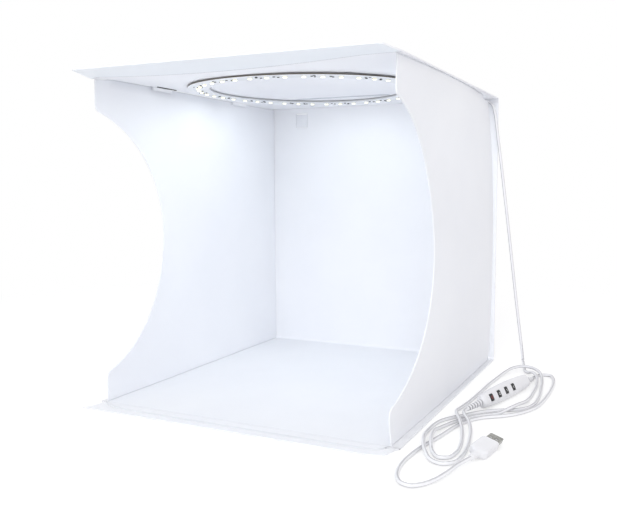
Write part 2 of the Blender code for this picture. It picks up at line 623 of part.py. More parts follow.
def controller(white, board_green, switch_grey, black):
    """Two half shells round a board with four switches, and a button on each."""
    frame = controller_frame()
    half = CONTROLLER_LENGTH / 2
    outer = rounded_rectangle(CONTROLLER_WIDTH, CONTROLLER_THICKNESS, CONTROLLER_ROUND)
    inner = rounded_rectangle(CONTROLLER_WIDTH - 2 * SHELL_WALL,
                              CONTROLLER_THICKNESS - 2 * SHELL_WALL,
                              CONTROLLER_ROUND - SHELL_WALL)
    cavity = bmesh.new()
    add_prism(cavity, inner, -half + SHELL_WALL, half - SHELL_WALL)
    cavity = mesh_object("controller_cavity", cavity, None, frame, helper=True)
    passage = bmesh.new()
    add_prism(passage, circle(0.0, 0.0, CABLE_HOLE, BORE_STEPS), -half - OVERRUN,
              half + OVERRUN)
    passage = mesh_object("controller_passage", passage, None, frame, helper=True)
    wide = CONTROLLER_WIDTH
    thick = CONTROLLER_THICKNESS
    long = CONTROLLER_LENGTH
    over_seam = box("controller_over_seam", (-wide, -long, -GAP / 2), (wide, long, thick),
                    None, frame, helper=True)
    under_seam = box("controller_under_seam", (-wide, -long, -thick), (wide, long, GAP / 2),
                     None, frame, helper=True)

    floor = SHELL_WALL - thick / 2
    board_low = floor + RIB_HEIGHT + GAP
    board_high = board_low + CONTROLLER_BOARD_THICKNESS
    rib_half = CONTROLLER_WIDTH / 2 - CONTROLLER_ROUND
    ribs = [box("controller_rib", (-rib_half, y - RIB_WIDTH / 2, floor - SHELL_WALL / 2),
                (rib_half, y + RIB_WIDTH / 2, floor + RIB_HEIGHT), None, frame, helper=True)
            for y in (-RIB_SPACING / 2, RIB_SPACING / 2)]
    for name, remover in (("controller_lower_shell", over_seam),
                          ("controller_upper_shell", under_seam)):
        body = bmesh.new()
        add_prism(body, outer, -half, half)
        body = mesh_object(name, body, white, frame)
        cut(body, cavity, remover, passage)
        if remover is over_seam:
            join(body, *ribs)
        else:
            cut(body, *button_holes(frame))

    board_half = CONTROLLER_WIDTH / 2 - CONTROLLER_ROUND
    board_end = half - SHELL_WALL - BOARD_CLEARANCE
    box("controller_board", (-board_half, -board_end, board_low),
        (board_half, board_end, board_high), board_green, frame)
    reach = SWITCH_SIZE / 2
    switch_low = board_high + GAP
    for name, y in zip(BUTTON_NAMES, button_places()):
        box(name.replace("button", "switch"), (-reach, y - reach, switch_low),
            (reach, y + reach, switch_low + SWITCH_HEIGHT), switch_grey, frame)

    roof = thick / 2 - SHELL_WALL
    flange_top = roof - GAP
    for name, y in zip(BUTTON_NAMES, button_places()):
        wide_half = BUTTON_WIDTH / 2 - GAP
        long_half = BUTTON_LENGTH / 2 - GAP
        cap = bmesh.new()
        add_box(cap, (-wide_half, -long_half, flange_top - BUTTON_FLANGE_THICKNESS / 2),
                (wide_half, long_half, thick / 2 + BUTTON_PROUD))
        spot = frame @ Matrix.Translation((0, y, 0))
        cap = mesh_object(name, cap, black, spot)
        flange = box(name + "_flange",
                     (-wide_half - BUTTON_FLANGE, -long_half - BUTTON_FLANGE,
                      flange_top - BUTTON_FLANGE_THICKNESS),
                     (wide_half + BUTTON_FLANGE, long_half + BUTTON_FLANGE, flange_top),
                     None, spot, helper=True)
        stem = box(name + "_stem",
                   (-reach, -reach, switch_low + SWITCH_HEIGHT + BUTTON_TRAVEL + GAP),
                   (reach, reach, flange_top - BUTTON_FLANGE_THICKNESS / 2),
                   None, spot, helper=True)
        join(cap, flange, stem)
    return frame


def button_holes(frame):
    """Cutters for the four button openings in the upper shell."""
    roof = CONTROLLER_THICKNESS / 2
    holes = []
    for y in button_places():
        low = (-BUTTON_WIDTH / 2, y - BUTTON_LENGTH / 2, roof - SHELL_WALL - OVERRUN)
        high = (BUTTON_WIDTH / 2, y + BUTTON_LENGTH / 2, roof + OVERRUN)
        holes.append(box("button_hole", low, high, None, frame, helper=True))
    return holes


def relief(name, start, start_run, end, end_run, material):
    """A tapered, ribbed strain relief that leaves start and reaches end along two runs."""
    stations = RELIEF_RIBS * 4
    bm = bmesh.new()
    reach = RELIEF_LENGTH / 3
    centres = interpolate_bezier(start, start + start_run * reach, end - end_run * reach, end,
                                 stations + 1)
    radii = []
    for i in range(stations + 1):
        t = i / stations
        radius = RELIEF_BASE_RADIUS + (RELIEF_TIP_RADIUS - RELIEF_BASE_RADIUS) * t
        radii.append(radius if i % 4 < 2 or i == stations else radius - RELIEF_GROOVE)
    add_sweep(bm, centres, radii, RELIEF_SIDES)
    mesh_object(name, bm, material, smooth=True)


def plug_frame():
    """The plug's frame: X across, Y toward its tip, Z up; the origin is mid-overmould."""
    flat = OVERMOULD_ROUND
    height = ((OVERMOULD_WIDTH / 2 - flat) * math.sin(PLUG_ROLL)
              + (OVERMOULD_THICKNESS / 2 - flat) * math.cos(PLUG_ROLL) + flat)
    return (Matrix.Translation(from_corner((*PLUG_PLACE, height)))
            @ Matrix.Rotation(PLUG_TURN, 4, "Z")
            @ Matrix.Rotation(PLUG_ROLL, 4, "Y"))


def plug(white, steel, tongue_white, gold):
    """The USB plug: overmould with its neck, metal shell, tongue and contacts."""
    frame = plug_frame()
    half = OVERMOULD_LENGTH / 2
    body = bmesh.new()
    outline = rounded_rectangle(OVERMOULD_WIDTH, OVERMOULD_THICKNESS, OVERMOULD_ROUND)
    add_prism(body, outline, -half, half)
    body = mesh_object("usb_overmould", body, white, frame)
    neck = bmesh.new()
    add_sweep(neck, [(0, -half - NECK_LENGTH, 0), (0, -half + OVERRUN, 0)],
              [NECK_TIP_RADIUS, NECK_RADIUS], RELIEF_SIDES)
    join(body, mesh_object("usb_neck", neck, None, frame, helper=True))

    start = half + GAP
    shell = box("usb_shell", (-SHELL_WIDTH / 2, start, -SHELL_HEIGHT / 2),
                (SHELL_WIDTH / 2, start + SHELL_LENGTH, SHELL_HEIGHT / 2), steel, frame)
    mouth_x = SHELL_WIDTH / 2 - SHELL_METAL
    mouth_z = SHELL_HEIGHT / 2 - SHELL_METAL
    mouth = box("usb_mouth", (-mouth_x, start - OVERRUN, -mouth_z),
                (mouth_x, start + SHELL_LENGTH + OVERRUN, mouth_z), None, frame, helper=True)
    cut(shell, mouth)
    for side in (-1, 1):
        x = side * SHELL_HOLE_SPACING / 2
        y = start + SHELL_LENGTH - SHELL_HOLE_BACK
        reach = SHELL_HOLE / 2
        cut(shell, box("usb_hole", (x - reach, y - reach, -SHELL_HEIGHT),
                       (x + reach, y + reach, SHELL_HEIGHT), None, frame, helper=True))

    tongue_low = GAP - mouth_z
    tongue_high = tongue_low + PLUG_TONGUE_THICKNESS
    box("usb_tongue", (-PLUG_TONGUE_WIDTH / 2, start, tongue_low),
        (PLUG_TONGUE_WIDTH / 2, start + PLUG_TONGUE_LENGTH, tongue_high), tongue_white, frame)
    contact_low = tongue_high + CONTACT_GAP
    for i in range(CONTACT_COUNT):
        x = (i - (CONTACT_COUNT - 1) / 2) * CONTACT_PITCH
        box(f"usb_contact_{i + 1}", (x - CONTACT_WIDTH / 2, start + GAP, contact_low),
            (x + CONTACT_WIDTH / 2, start + GAP + CONTACT_LENGTH,
             contact_low + CONTACT_THICKNESS), gold, frame)
    return frame


def cords(cord_white, controller_at, plug_at):
    """The lead under the lid, and the cord from its clip to the controller and plug."""
    half = CONTROLLER_LENGTH / 2 + GAP
    along = controller_at.to_3x3() @ Vector((0, 1, 0))
    inlet = controller_at @ Vector((0, -half, 0))
    inlet_tip = inlet - along * RELIEF_LENGTH
    relief("controller_inlet_relief", inlet, -along, inlet_tip, -along, cord_white)
    outlet = controller_at @ Vector((0, half, 0))
    outlet_tip = Vector(from_corner(OUTLET_TIP))
    lower_route = [from_corner(spot) for spot in LOWER_ROUTE]
    onward = (Vector(lower_route[0]) - outlet_tip).normalized()
    relief("controller_outlet_relief", outlet, along, outlet_tip, onward, cord_white)

    lead_start = Vector((LEAD_START_X, RING_Y + LEAD_REACH * math.sin(CONNECTOR_TURN),
                         CABLE_Z))
    lead_end = Vector((CORNER_X - LEAD_END_INSET, CABLE_Y, CABLE_Z))
    at_clip = Vector((LEAD_CLIP_X - LEAD_STRAIGHT, CABLE_Y, CABLE_Z))
    lead_route = [lead_start + (at_clip - lead_start) * Vector((right, back, 1))
                  for right, back in ((0, 0), *LEAD_SHARES, (1, 1))]
    clip_start = Vector((LEAD_CLIP_X, CABLE_Y, CABLE_Z))
    cord("ring_lead", [*lead_route, clip_start, lead_end], LEAD_STEP, cord_white)

    hanging = [(CORNER_X + x, CABLE_Y, CABLE_Z * share)
               for x, share in zip(HANG_X, HANG_HEIGHT_SHARES)]
    ground = [from_corner(spot) for spot in UPPER_ROUTE]
    upper_end = inlet_tip - along * GAP
    upper = cord("cord_upper", [*hanging, *ground, upper_end], CORD_STEP, cord_white)
    lower_start = outlet_tip + onward * GAP
    neck = plug_at @ Vector((0, -OVERMOULD_LENGTH / 2 - NECK_LENGTH - GAP, 0))
    lower = cord("cord_lower", [lower_start, *lower_route, neck], CORD_STEP, cord_white)
    nearest = min(np.linalg.norm(lower - point, axis=1).min() for point in upper)
    print("least middle distance between the two cords", round(nearest * 1000, 2), "mm")


def main():
    for thing in list(bpy.data.objects):
        bpy.data.objects.remove(thing)
    white = finish("white_sheet", (0.86, 0.87, 0.92), 0.45)
    tint = finish("lip_sheet", (0.76, 0.80, 0.88), 0.45)
    dark = finish("board_brown", (0.10, 0.06, 0.04), 0.5)
    mask_white = finish("board_face_white", (0.88, 0.88, 0.88), 0.4)
    black = finish("black_plastic", (0.01, 0.01, 0.01), 0.4)
    plastic = finish("white_plastic", (0.85, 0.85, 0.87), 0.35)
    cord_white = finish("cord_sheath", (0.82, 0.82, 0.84), 0.4)
    steel = finish("plug_steel", (0.60, 0.60, 0.58), 0.25, 1.0)
    gold = finish("contact_gold", (0.85, 0.62, 0.25), 0.25, 1.0)
    green = finish("board_green", (0.03, 0.22, 0.10), 0.5)
    grey = finish("switch_grey", (0.20, 0.20, 0.21), 0.5)
    sheets(white, tint)
    ring(dark, mask_white, plastic, plastic)
    clips(plastic)
    controller_at = controller(plastic, green, grey, black)
    plug_at = plug(plastic, steel, plastic, gold)
    cords(cord_white, controller_at, plug_at)


main()
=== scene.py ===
"""Light tent cube: the visible surfaces and finishes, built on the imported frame.

Every length is in metres in the frame's axes: X to the right seen from the open
front, Y to the back, Z up. Each new surface is a function of two parameters on a
grid, or a profile carried along a path, worked out as whole arrays.
"""
import math

import bmesh
import bpy
import numpy as np
from mathutils import Matrix, Vector


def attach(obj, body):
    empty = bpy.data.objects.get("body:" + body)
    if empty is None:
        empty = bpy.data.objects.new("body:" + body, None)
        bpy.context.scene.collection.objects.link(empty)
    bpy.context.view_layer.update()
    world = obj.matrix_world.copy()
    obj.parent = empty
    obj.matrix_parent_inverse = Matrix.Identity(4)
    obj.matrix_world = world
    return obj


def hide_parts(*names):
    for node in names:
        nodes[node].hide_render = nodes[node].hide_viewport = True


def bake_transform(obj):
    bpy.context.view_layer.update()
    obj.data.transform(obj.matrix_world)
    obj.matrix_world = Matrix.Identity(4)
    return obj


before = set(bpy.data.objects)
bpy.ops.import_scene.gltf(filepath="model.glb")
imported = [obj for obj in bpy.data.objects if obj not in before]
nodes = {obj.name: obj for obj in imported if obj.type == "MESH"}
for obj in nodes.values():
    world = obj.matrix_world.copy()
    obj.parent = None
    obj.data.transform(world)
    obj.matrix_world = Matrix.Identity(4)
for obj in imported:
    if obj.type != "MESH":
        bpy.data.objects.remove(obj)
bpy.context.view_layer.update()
scene = bpy.context.scene

# Camera, at the photograph's viewing angle
CAMERA_PLACE = (0.3451, -0.6622, 0.2082)
CAMERA_TURN = (math.radians(84.76), 0.0, math.radians(24.32))
CAMERA_LENS = 41.78
CAMERA_SHIFT = (-0.0689, -0.0219)

# Box of sheet, the same sizes as the solids
HALF = 0.154
HEIGHT = 0.310
SHEET = 0.0012
GAP = 0.0003
SHEET_BEVEL = 0.00025
MERGE_REACH = 2e-6
FRONT = -0.144425
BACK = 0.177575
INNER_BACK = BACK - SHEET
MID_Z = HEIGHT - SHEET / 2
CREASE_BEND = 0.004
CREASE_ROWS = (0.0, 0.0004, 0.0009, 0.002)
# Colour of the painted shade along the sheets' creases, the bottom lip's step and the walls' top
# edges
CREASE_SHADE_COLOUR = (0.34, 0.36, 0.40)

# How the lid hangs: along its front crease, at its left edge and around the ring. The edge's
# rise and fall are each a start and a run.
CREASE_SAG = 0.0042
SAG_MIDDLE = -0.020
SAG_HALF = 0.140
SAG_RISE = 0.0011
SAG_REACH = 0.110
EDGE_DROP = 0.0014
EDGE_DROP_REACH = 0.020
EDGE_LIFT = 0.0020
EDGE_RISES = (0.006, 0.022)
EDGE_FALLS = (0.05, 0.10)
EDGE_REACH = 0.0097
RING_SIDES, RING_TILT, RING_BEND = -0.0009, -0.00075, 0.00165
DISH = 0.0018
DISH_EDGE = 0.119
DISH_REACH = 0.026
HANG_SOFT = 1.0e-7
HANG_LOSS = 1.6e-4

# Front lips and backdrop hooks
TOP_LIP_LENGTH = 0.033
TOP_LIP_INSETS = (0.008, 0.004)
TOP_LIP_CORNER = 0.004
TOP_LIP_LIFT = 0.0009
BOTTOM_LIP_EDGE = ((-0.1540, 0.0), (-0.1500, 0.0016), (-0.1486, 0.0050), (-0.1492, 0.0110),
                   (-0.1512, 0.0175), (-0.1560, 0.0228), (-0.1200, 0.0226), (0.0, 0.0227),
                   (0.1200, 0.0224), (0.1330, 0.0221), (0.1400, 0.0212), (0.1455, 0.0186),
                   (0.1488, 0.0140), (0.1503, 0.0085), (0.1512, 0.0040), (0.1540, 0.0))
BOTTOM_LIP_STEP = ((-0.1480, 0.0004), (-0.1440, 0.0030), (-0.1380, 0.0062), (-0.1290, 0.0098),
                   (-0.1180, 0.0121), (-0.1080, 0.0128), (0.0, 0.0130), (0.1150, 0.0128),
                   (0.1260, 0.0124), (0.1340, 0.0113), (0.1395, 0.0090), (0.1425, 0.0058),
                   (0.1438, 0.0030), (0.1444, 0.0004))
BOTTOM_LIP_RISE = 0.0008
CREASE_RISE_RUN = 0.004
STEP_RUN = 0.0006
LIP_COLUMNS = 181
HOOK_X = 0.1046
HOOK_HALF = 0.0083
HOOK_LOW = 0.284
HOOK_HIGH = 0.3020

# Side walls
WALL_X = 0.1464
WALL_FOOT = 0.0015
WALL_FRONT = FRONT + 0.001
WALL_LENGTH = 0.310
WALL_TOP = 0.307
LID_UNDER = 0.3088
WALL_CLEARANCE = 0.0005
SHOULDERS = ((0.075, 0.105), (0.219, 0.249))
SHOULDER_RISE = 0.0004
# Where the right wall's notch for the cord starts along its top edge, and how deep it is
CORD_NOTCH = (0.272, 0.0034)
REAR_REACH = 0.0091
ARC_RADIUS = 0.129
ARC_AHEAD = 0.034
ARC_HEIGHT = 0.154
ARC_FILLET = 0.006
FOOT_HELD = 0.014
# How far each wall's sheet stands out from its plane, in mm: at the front, halfway and at the
# rear, and at each of these at the foot, at one third, at two thirds and at the top
LEFT_BOW = ((0.7, 0.2, 4.2, 4.2), (-1.0, 8.0, 4.2, 1.8), (0.0, 0.2, 0.2, 0.1))
RIGHT_BOW = ((-2.0, -2.4, -0.4, 2.3), (3.3, 6.2, 3.0, 5.2), (3.2, 5.1, 4.3, -3.2))

# Lid's window, slots, and the ring of light under it
RING = (-0.004, 0.004565)
WINDOW_RADIUS = 0.099
WINDOW_CHORD = 0.081
WINDOW_BLOCK = 0.104
SLOT_X = (0.1405, 0.1443)
SLOT_Y = ((-0.068425, -0.038425), (0.075575, 0.105575))
# Dark strips painted as the shadow in the front slots' gaps: half width, inset from the slot,
# levels, soft edge
SHADOW_STRIP_HALF = 0.0008
SHADOW_STRIP_INSET = 0.0013
SHADOW_STRIP_LEVELS = (-0.0008, -0.0001)
SHADOW_STRIP_SOFT = 0.0002
BOARD_INNER = 0.1005
BOARD_OUTER = 0.1225
BOARD_LOW = 0.3053
BOARD_HIGH = 0.3063
BOARD_CHAMFER = 0.00018
FACE_LOW = 0.3049
FACE_TOP = FACE_LOW + 0.0003
# Foam tape: inner radius, outer radius, underside
FOAM = (0.1030, 0.1200, 0.3064)
FOAM_ROOM = 0.0001
LED_RADIUS = 0.112
LED_COUNT = 42
LED_START = math.radians(4.0)
# Each small part: half its size outward and along the ring, how far it hangs below the board's
# face, and its soft edge; each row of resistors: the part, one in how many gaps between LEDs,
# how far along the ring from the gap's middle (radians), and how far outward from the LEDs
LED_CASE_SIZE = (0.0014, 0.00175, 0.0007, 0.0001)
LED_LENS_SIZE = (0.00155, 0.00195, 0.0014, 0.0005)
LED_LENS_START = 0.0006
SOLDER_SIZE = (0.0007, 0.0003, 0.00012, 0.00005)
SOLDER_ASIDE = 0.0185
RESISTORS = (((0.0007, 0.0011, 0.0006, 0.00008), 1, -0.013, 0.0008),
             ((0.0006, 0.0010, 0.0006, 0.00008), 1, 0.013, -0.0030),
             ((0.0005, 0.0012, 0.0004, 0.00006), 2, 0.004, 0.0046))

# Cords: the same routes as the solids
CORD_RADIUS = 0.0016
CORD_CENTRE_STEP = 0.0022
HANG_SLOPES = (0.45, 0.80)
CORD_TOP = (0.30, -0.07, 1.0)
LEAD_ROUTE = [
    (0.0712, 0.1120, 0.3069), (0.0766, 0.1233, 0.3069), (0.0824, 0.1358, 0.3069),
    (0.0875, 0.1477, 0.3069), (0.0921, 0.1608, 0.3069), (0.0958, 0.1688, 0.3069),
    (0.0981, 0.1712, 0.3069), (0.0998, 0.1715, 0.3069), (0.1043, 0.1715, 0.3069),
    (0.1257, 0.1715, 0.3069),
]
UPPER_ROUTE = [
    (0.1260, 0.1715, 0.3069), (0.1360, 0.1715, 0.3069), (0.1420, 0.1715, 0.3060),
    (0.1475, 0.1715, 0.3020), (0.1510, 0.1715, 0.2920), (0.1535, 0.1715, 0.2760),
    (0.1560, 0.1715, 0.2580), (0.1590, 0.1715, 0.2370), (0.1630, 0.1715, 0.2070),
    (0.1680, 0.1715, 0.1690), (0.1740, 0.1715, 0.1220), (0.1800, 0.1715, 0.0750),
    (0.1850, 0.1715, 0.0380), (0.1885, 0.1690, 0.0170), (0.1922, 0.1590, 0.0050),
    (0.1965, 0.1450, 0.0016), (0.1990, 0.1345, 0.0016), (0.2040, 0.1265, 0.0026),
    (0.2090, 0.1188, 0.0053), (0.2140, 0.1100, 0.0060), (0.2188, 0.0965, 0.0048),
    (0.2213, 0.0775, 0.0020), (0.2223, 0.0555, 0.0016), (0.2227, 0.0335, 0.0017),
    (0.2216, 0.0080, 0.0042), (0.2186, -0.0065, 0.0058), (0.2135, -0.0195, 0.0052),
    (0.2060, -0.0290, 0.0024), (0.1965, -0.0360, 0.0016), (0.1885, -0.0435, 0.0016),
    (0.1825, -0.0525, 0.0016), (0.1770, -0.0625, 0.0016), (0.1720, -0.0750, 0.0016),
    (0.1690, -0.0885, 0.0024), (0.1690, -0.1025, 0.0050), (0.1712, -0.1175, 0.0056),
    (0.1753, -0.1320, 0.0048), (0.1810, -0.1445, 0.0020), (0.1875, -0.1510, 0.0016),
    (0.1940, -0.1485, 0.0016), (0.1970, -0.1375, 0.0016), (0.1960, -0.1205, 0.0016),
    (0.1922, -0.1015, 0.0016), (0.1870, -0.0835, 0.0034), (0.1810, -0.0695, 0.0056),
    (0.1755, -0.0575, 0.0059), (0.1715, -0.0455, 0.0052), (0.1700, -0.0325, 0.0028),
    (0.1706, -0.0165, 0.0016), (0.1722, 0.0010, 0.0016), (0.1732, 0.0205, 0.0016),
    (0.1740, 0.0425, 0.0016), (0.1750, 0.0675, 0.0016), (0.1775, 0.0945, 0.0020),
    (0.1815, 0.1145, 0.0038), (0.1870, 0.1295, 0.0054), (0.1960, 0.1390, 0.0058),
    (0.2050, 0.1368, 0.0058), (0.2130, 0.1280, 0.0058), (0.2195, 0.1145, 0.0052),
    (0.2240, 0.0965, 0.0025), (0.2268, 0.0745, 0.0016), (0.2292, 0.0535, 0.0016),
    (0.2305, 0.0315, 0.0016), (0.2298, 0.0135, 0.0016), (0.2255, -0.0005, 0.0016),
    (0.2170, -0.0100, 0.0016), (0.2075, -0.0155, 0.0016), (0.1980, -0.0215, 0.0016),
    (0.1900, -0.0290, 0.0016), (0.1830, -0.0380, 0.0016), (0.1770, -0.0470, 0.0016),
    (0.1700, -0.0560, 0.0016), (0.1640, -0.0675, 0.0016), (0.1613, -0.0825, 0.0016),
    (0.1616, -0.0985, 0.0020), (0.1643, -0.1145, 0.0046), (0.1690, -0.1320, 0.0056),
    (0.1755, -0.1480, 0.0042), (0.1840, -0.1590, 0.0019), (0.1930, -0.1622, 0.0016),
    (0.2005, -0.1565, 0.0016), (0.2030, -0.1425, 0.0016), (0.2020, -0.1225, 0.0016),
    (0.1988, -0.1015, 0.0018), (0.1940, -0.0815, 0.0032), (0.1887, -0.0685, 0.0054),
    (0.1828, -0.0585, 0.0068), (0.1797, -0.0510, 0.0074),
]
LOWER_ROUTE = [
    (0.2127, 0.1075, 0.0022), (0.2145, 0.1170, 0.0016), (0.2195, 0.1255, 0.0016),
    (0.2270, 0.1265, 0.0016), (0.2325, 0.1155, 0.0016), (0.2355, 0.0985, 0.0016),
    (0.2370, 0.0755, 0.0016), (0.2370, 0.0475, 0.0016), (0.2360, 0.0255, 0.0016),
    (0.2333, 0.0060, 0.0016), (0.2280, -0.0085, 0.0016), (0.2205, -0.0215, 0.0016),
    (0.2120, -0.0310, 0.0016), (0.2035, -0.0378, 0.0016), (0.1955, -0.0440, 0.0016),
    (0.1895, -0.0515, 0.0016), (0.1850, -0.0605, 0.0016), (0.1810, -0.0710, 0.0016),
    (0.1780, -0.0845, 0.0016), (0.1755, -0.1015, 0.0016), (0.1720, -0.1195, 0.0016),
    (0.1685, -0.1365, 0.0016), (0.1665, -0.1545, 0.0016), (0.1660, -0.1725, 0.0016),
    (0.1680, -0.1875, 0.0016), (0.1722, -0.2000, 0.0016), (0.1785, -0.2078, 0.0016),
    (0.1855, -0.2090, 0.0016), (0.1918, -0.2040, 0.0017), (0.1975, -0.1945, 0.0020),
    (0.2025, -0.1815, 0.0030), (0.2065, -0.1665, 0.0042),
]

# Controller on the cord
CONTROLLER_PLACE = (0.1991, 0.027775)
CONTROLLER_TURN = math.radians(-14.2)
CONTROLLER_ROLL = math.radians(62.0)
CONTROLLER_HALF = (0.00775, 0.048, 0.0050)
CONTROLLER_ROUND = 0.0044
CONTROLLER_WALL = 0.0008
CONTROLLER_NOSE = 0.0035
CASE_POWER = 3.2
CASE_FALL = (0.0021, 0.0006)
BUTTONS = (("power", -0.0355), ("mode", -0.0205), ("up", -0.0055), ("down", 0.0095))
BUTTON_HALF = (0.0032, 0.0028)
BUTTON_FOOT = 0.0034
BUTTON_TOP = 0.0058
BUTTON_SOFT = 0.0006
BUTTON_ROOM = 0.0003
MARK_LEVEL = BUTTON_TOP + 0.00003
MARK_THICKNESS = 0.00004
OUTLET_TIP = (0.2125, 0.101475, 0.0026)
RELIEF_LENGTH = 0.026
RELIEF_RADII = (0.0034, 0.0022)
RIB_COUNT = 6
RIB_DEPTHS = (0.0011, 0.0005)

# USB plug
PLUG_PLACE = (0.2162, -0.127525)
PLUG_TURN = math.radians(-9.0)
PLUG_ROLL = math.radians(15.0)
PLUG_HALF = (0.0075, 0.014, 0.0040)
PLUG_ROUND = 0.0025
PLUG_NOSE = 0.0015
PLUG_NOSE_IN = 0.0009
SHOULDER_BACK = -0.0150
SHOULDER_LENGTH = 0.0065
NECK_LENGTH = 0.010
NECK_RADII = (0.0022, 0.0032)
SHELL_HALF = (0.0058, 0.00205)
SHELL_CORNER = 0.0006
SHELL_START = 0.0143
SHELL_LENGTH = 0.0125
SHELL_HOLE_X = (0.00135, 0.00365)
SHELL_HOLE_Y = (0.00455, 0.00685)
CORE_Y = 0.0196

# Light
WHITE = (1.0, 1.0, 1.0)
SKY_COLOUR = (1.0, 0.987, 0.997)
SKY_STRENGTH = 0.82
FLOOR_OWN = 0.56
FLOOR_FADE = (0.45, 0.85)
FLOOR_LEVEL = -0.0002
SMALL_LAMP_POWER = 0.0036
SMALL_LAMP_REAR = 0.0030
SMALL_LAMP_LEFT = 0.0008


# Shapes

def on_grid(x, y, z):
    """Values of x, y and z, spread over one grid of points."""
    return np.stack(np.broadcast_arrays(x, y, z), axis=-1)


def pairs(x, y):
    """Rows of x and y; a single value goes with all of the other's."""
    return np.column_stack(np.broadcast_arrays(x, y))


def middles(values):
    """The values halfway between neighbours."""
    return (values[1:] + values[:-1]) / 2


def unit(rows):
    """Each row of numbers, scaled to length one."""
    return rows / np.linalg.norm(rows, axis=-1, keepdims=True)


def closed(*grids):
    """Patches of grids whose rows close on themselves."""
    return [(grid, True, None) for grid in grids]


def open_sheet(*grids, keep=None):
    """Patches of grids with open edges, with the cells that are kept."""
    return [(grid, False, keep) for grid in grids]


def grid_faces(rows, columns, wrap=False, keep=None):
    """Quads of a grid of points numbered row by row; wrap joins each row's end to its start."""
    r, c = np.meshgrid(np.arange(rows - 1), np.arange(columns if wrap else columns - 1),
                       indexing="ij")
    n = (c + 1) % columns
    quads = np.stack([r * columns + c, r * columns + n, (r + 1) * columns + n,
                      (r + 1) * columns + c], axis=-1)
    return quads[keep] if keep is not None else quads.reshape(-1, 4)


def vertex_places(mesh):
    """A mesh's vertices, one row each."""
    co = np.empty(len(mesh.vertices) * 3, np.float32)
    mesh.vertices.foreach_get("co", co)
    return co.reshape(-1, 3)


def piece(name, patches, body, finishes, stands_for=(), shade_mask=None, bevel=0.0,
          thickness=0.0, angle=40.0):
    """One object from grids of points. Each patch is (points, wrap, cells kept or None).

    Equal points are merged, so that seams and poles close. A sheet gets its thickness
    half to each side of its grid; its cut edges take the second finish.
    """
    points, faces, start = [], [], 0
    for grid, wrap, keep in patches:
        rows, columns = grid.shape[:2]
        faces.append(grid_faces(rows, columns, wrap, keep) + start)
        points.append(grid.reshape(-1, 3))
        start += rows * columns
    mesh = bpy.data.meshes.new(name)
    mesh.from_pydata(np.vstack(points).tolist(), [], np.vstack(faces).tolist())
    bm = bmesh.new()
    bm.from_mesh(mesh)
    bmesh.ops.remove_doubles(bm, verts=bm.verts, dist=MERGE_REACH)
    bmesh.ops.delete(bm, geom=[v for v in bm.verts if not v.link_faces], context="VERTS")
    bmesh.ops.recalc_face_normals(bm, faces=bm.faces)
    bm.to_mesh(mesh)
    bm.free()
    mesh.shade_smooth()
    mesh.set_sharp_from_angle(angle=math.radians(angle))
    # The crease attribute holds where painted shade darkens the piece's finish
    if shade_mask:
        layer = mesh.attributes.new("crease", "FLOAT", "POINT")
        layer.data.foreach_set("value", shade_mask(vertex_places(mesh)).astype(np.float32))
    thing = bpy.data.objects.new(name, mesh)
    scene.collection.objects.link(thing)
    for finish in finishes:
        mesh.materials.append(finish)
    if thickness:
        solid = thing.modifiers.new("thickness", "SOLIDIFY")
        solid.thickness = thickness
        solid.offset = 0.0
        solid.material_offset_rim = len(finishes) - 1
    if bevel:
        edge = thing.modifiers.new("edge", "BEVEL")
        edge.width = bevel
        edge.segments = 2
        edge.limit_method = "ANGLE"
        edge.angle_limit = math.radians(50.0)
        edge.harden_normals = True
    if stands_for:
        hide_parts(*stands_for)
    if body:
        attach(thing, body)
    return thing


def spaced(*stops, step=0.008):
    """Rising values that hold every stop, with no two neighbours further apart than step."""
    stops = np.array(stops, float)
    parts = [np.linspace(a, b, max(2, int(np.ceil((b - a) / step)) + 1))[:-1]
             for a, b in zip(stops, stops[1:])]
    return np.concatenate([*parts, stops[-1:]])


def eased(t):
    """A smooth step: 3t^2 - 2t^3, held at 0 below 0 and at 1 above 1."""
    t = np.clip(t, 0.0, 1.0)
    return t * t * (3.0 - 2.0 * t)


def fading(distance, reach):
    """1 at no distance and 0 from the reach on, by a smooth step between."""
    return 1 - eased(distance / reach)


def rounded_off(past):
    """A quarter circle: sqrt(1 - t^2), held at 1 below 0 and at 0 above 1."""
    return np.sqrt(np.clip(1 - np.clip(past, 0, None)**2, 0, 1))


def squared_circle(turn, power):
    """Cosine and sine of a turn, each to the power 2/power with its sign kept: a superellipse."""
    return [np.sign(wave) * np.abs(wave) ** (2 / power) for wave in (np.cos(turn), np.sin(turn))]


def full_turn(steps):
    """Angles once round, without the last."""
    return np.linspace(0, math.tau, steps, endpoint=False)


def capped(first, rows, last):
    """Rows of points, closed at each end by a row gathered on one point."""
    ends = [np.broadcast_to(point, (1, rows.shape[1], 3)) for point in (first, last)]
    return np.concatenate([ends[0], rows, ends[1]])


def swept(path, radii, sides):
    """A closed round body along a path: at each station, a circle square to the path.

    The circle's sides come from the path's direction and a steady second direction,
    upright on the ground and level where the path hangs.
    """
    along = unit(np.gradient(path, axis=0))
    hangs = eased((np.abs(along[:, 2:3]) - HANG_SLOPES[0]) / (HANG_SLOPES[1] - HANG_SLOPES[0]))
    steady = np.array([0.0, 0.0, 1.0]) * (1 - hangs) + np.array([0.0, 1.0, 0.0]) * hangs
    across = unit(np.cross(along, steady))
    upward = np.cross(across, along)
    turn = full_turn(sides)
    wide, high = radii[:, None] * np.cos(turn), radii[:, None] * np.sin(turn)
    rows = path[:, None] + across[:, None] * wide[..., None] + upward[:, None] * high[..., None]
    return capped(path[0], rows, path[-1])


def travelled(line):
    """The way along a line of points up to each of them."""
    return np.concatenate([[0], np.cumsum(np.linalg.norm(np.diff(line, axis=0), axis=1))])


def even_points(line, count):
    """Evenly spaced points along a line of points."""
    run = travelled(line)
    marks = np.linspace(0, run[-1], count)
    return np.column_stack([np.interp(marks, run, column) for column in line.T])


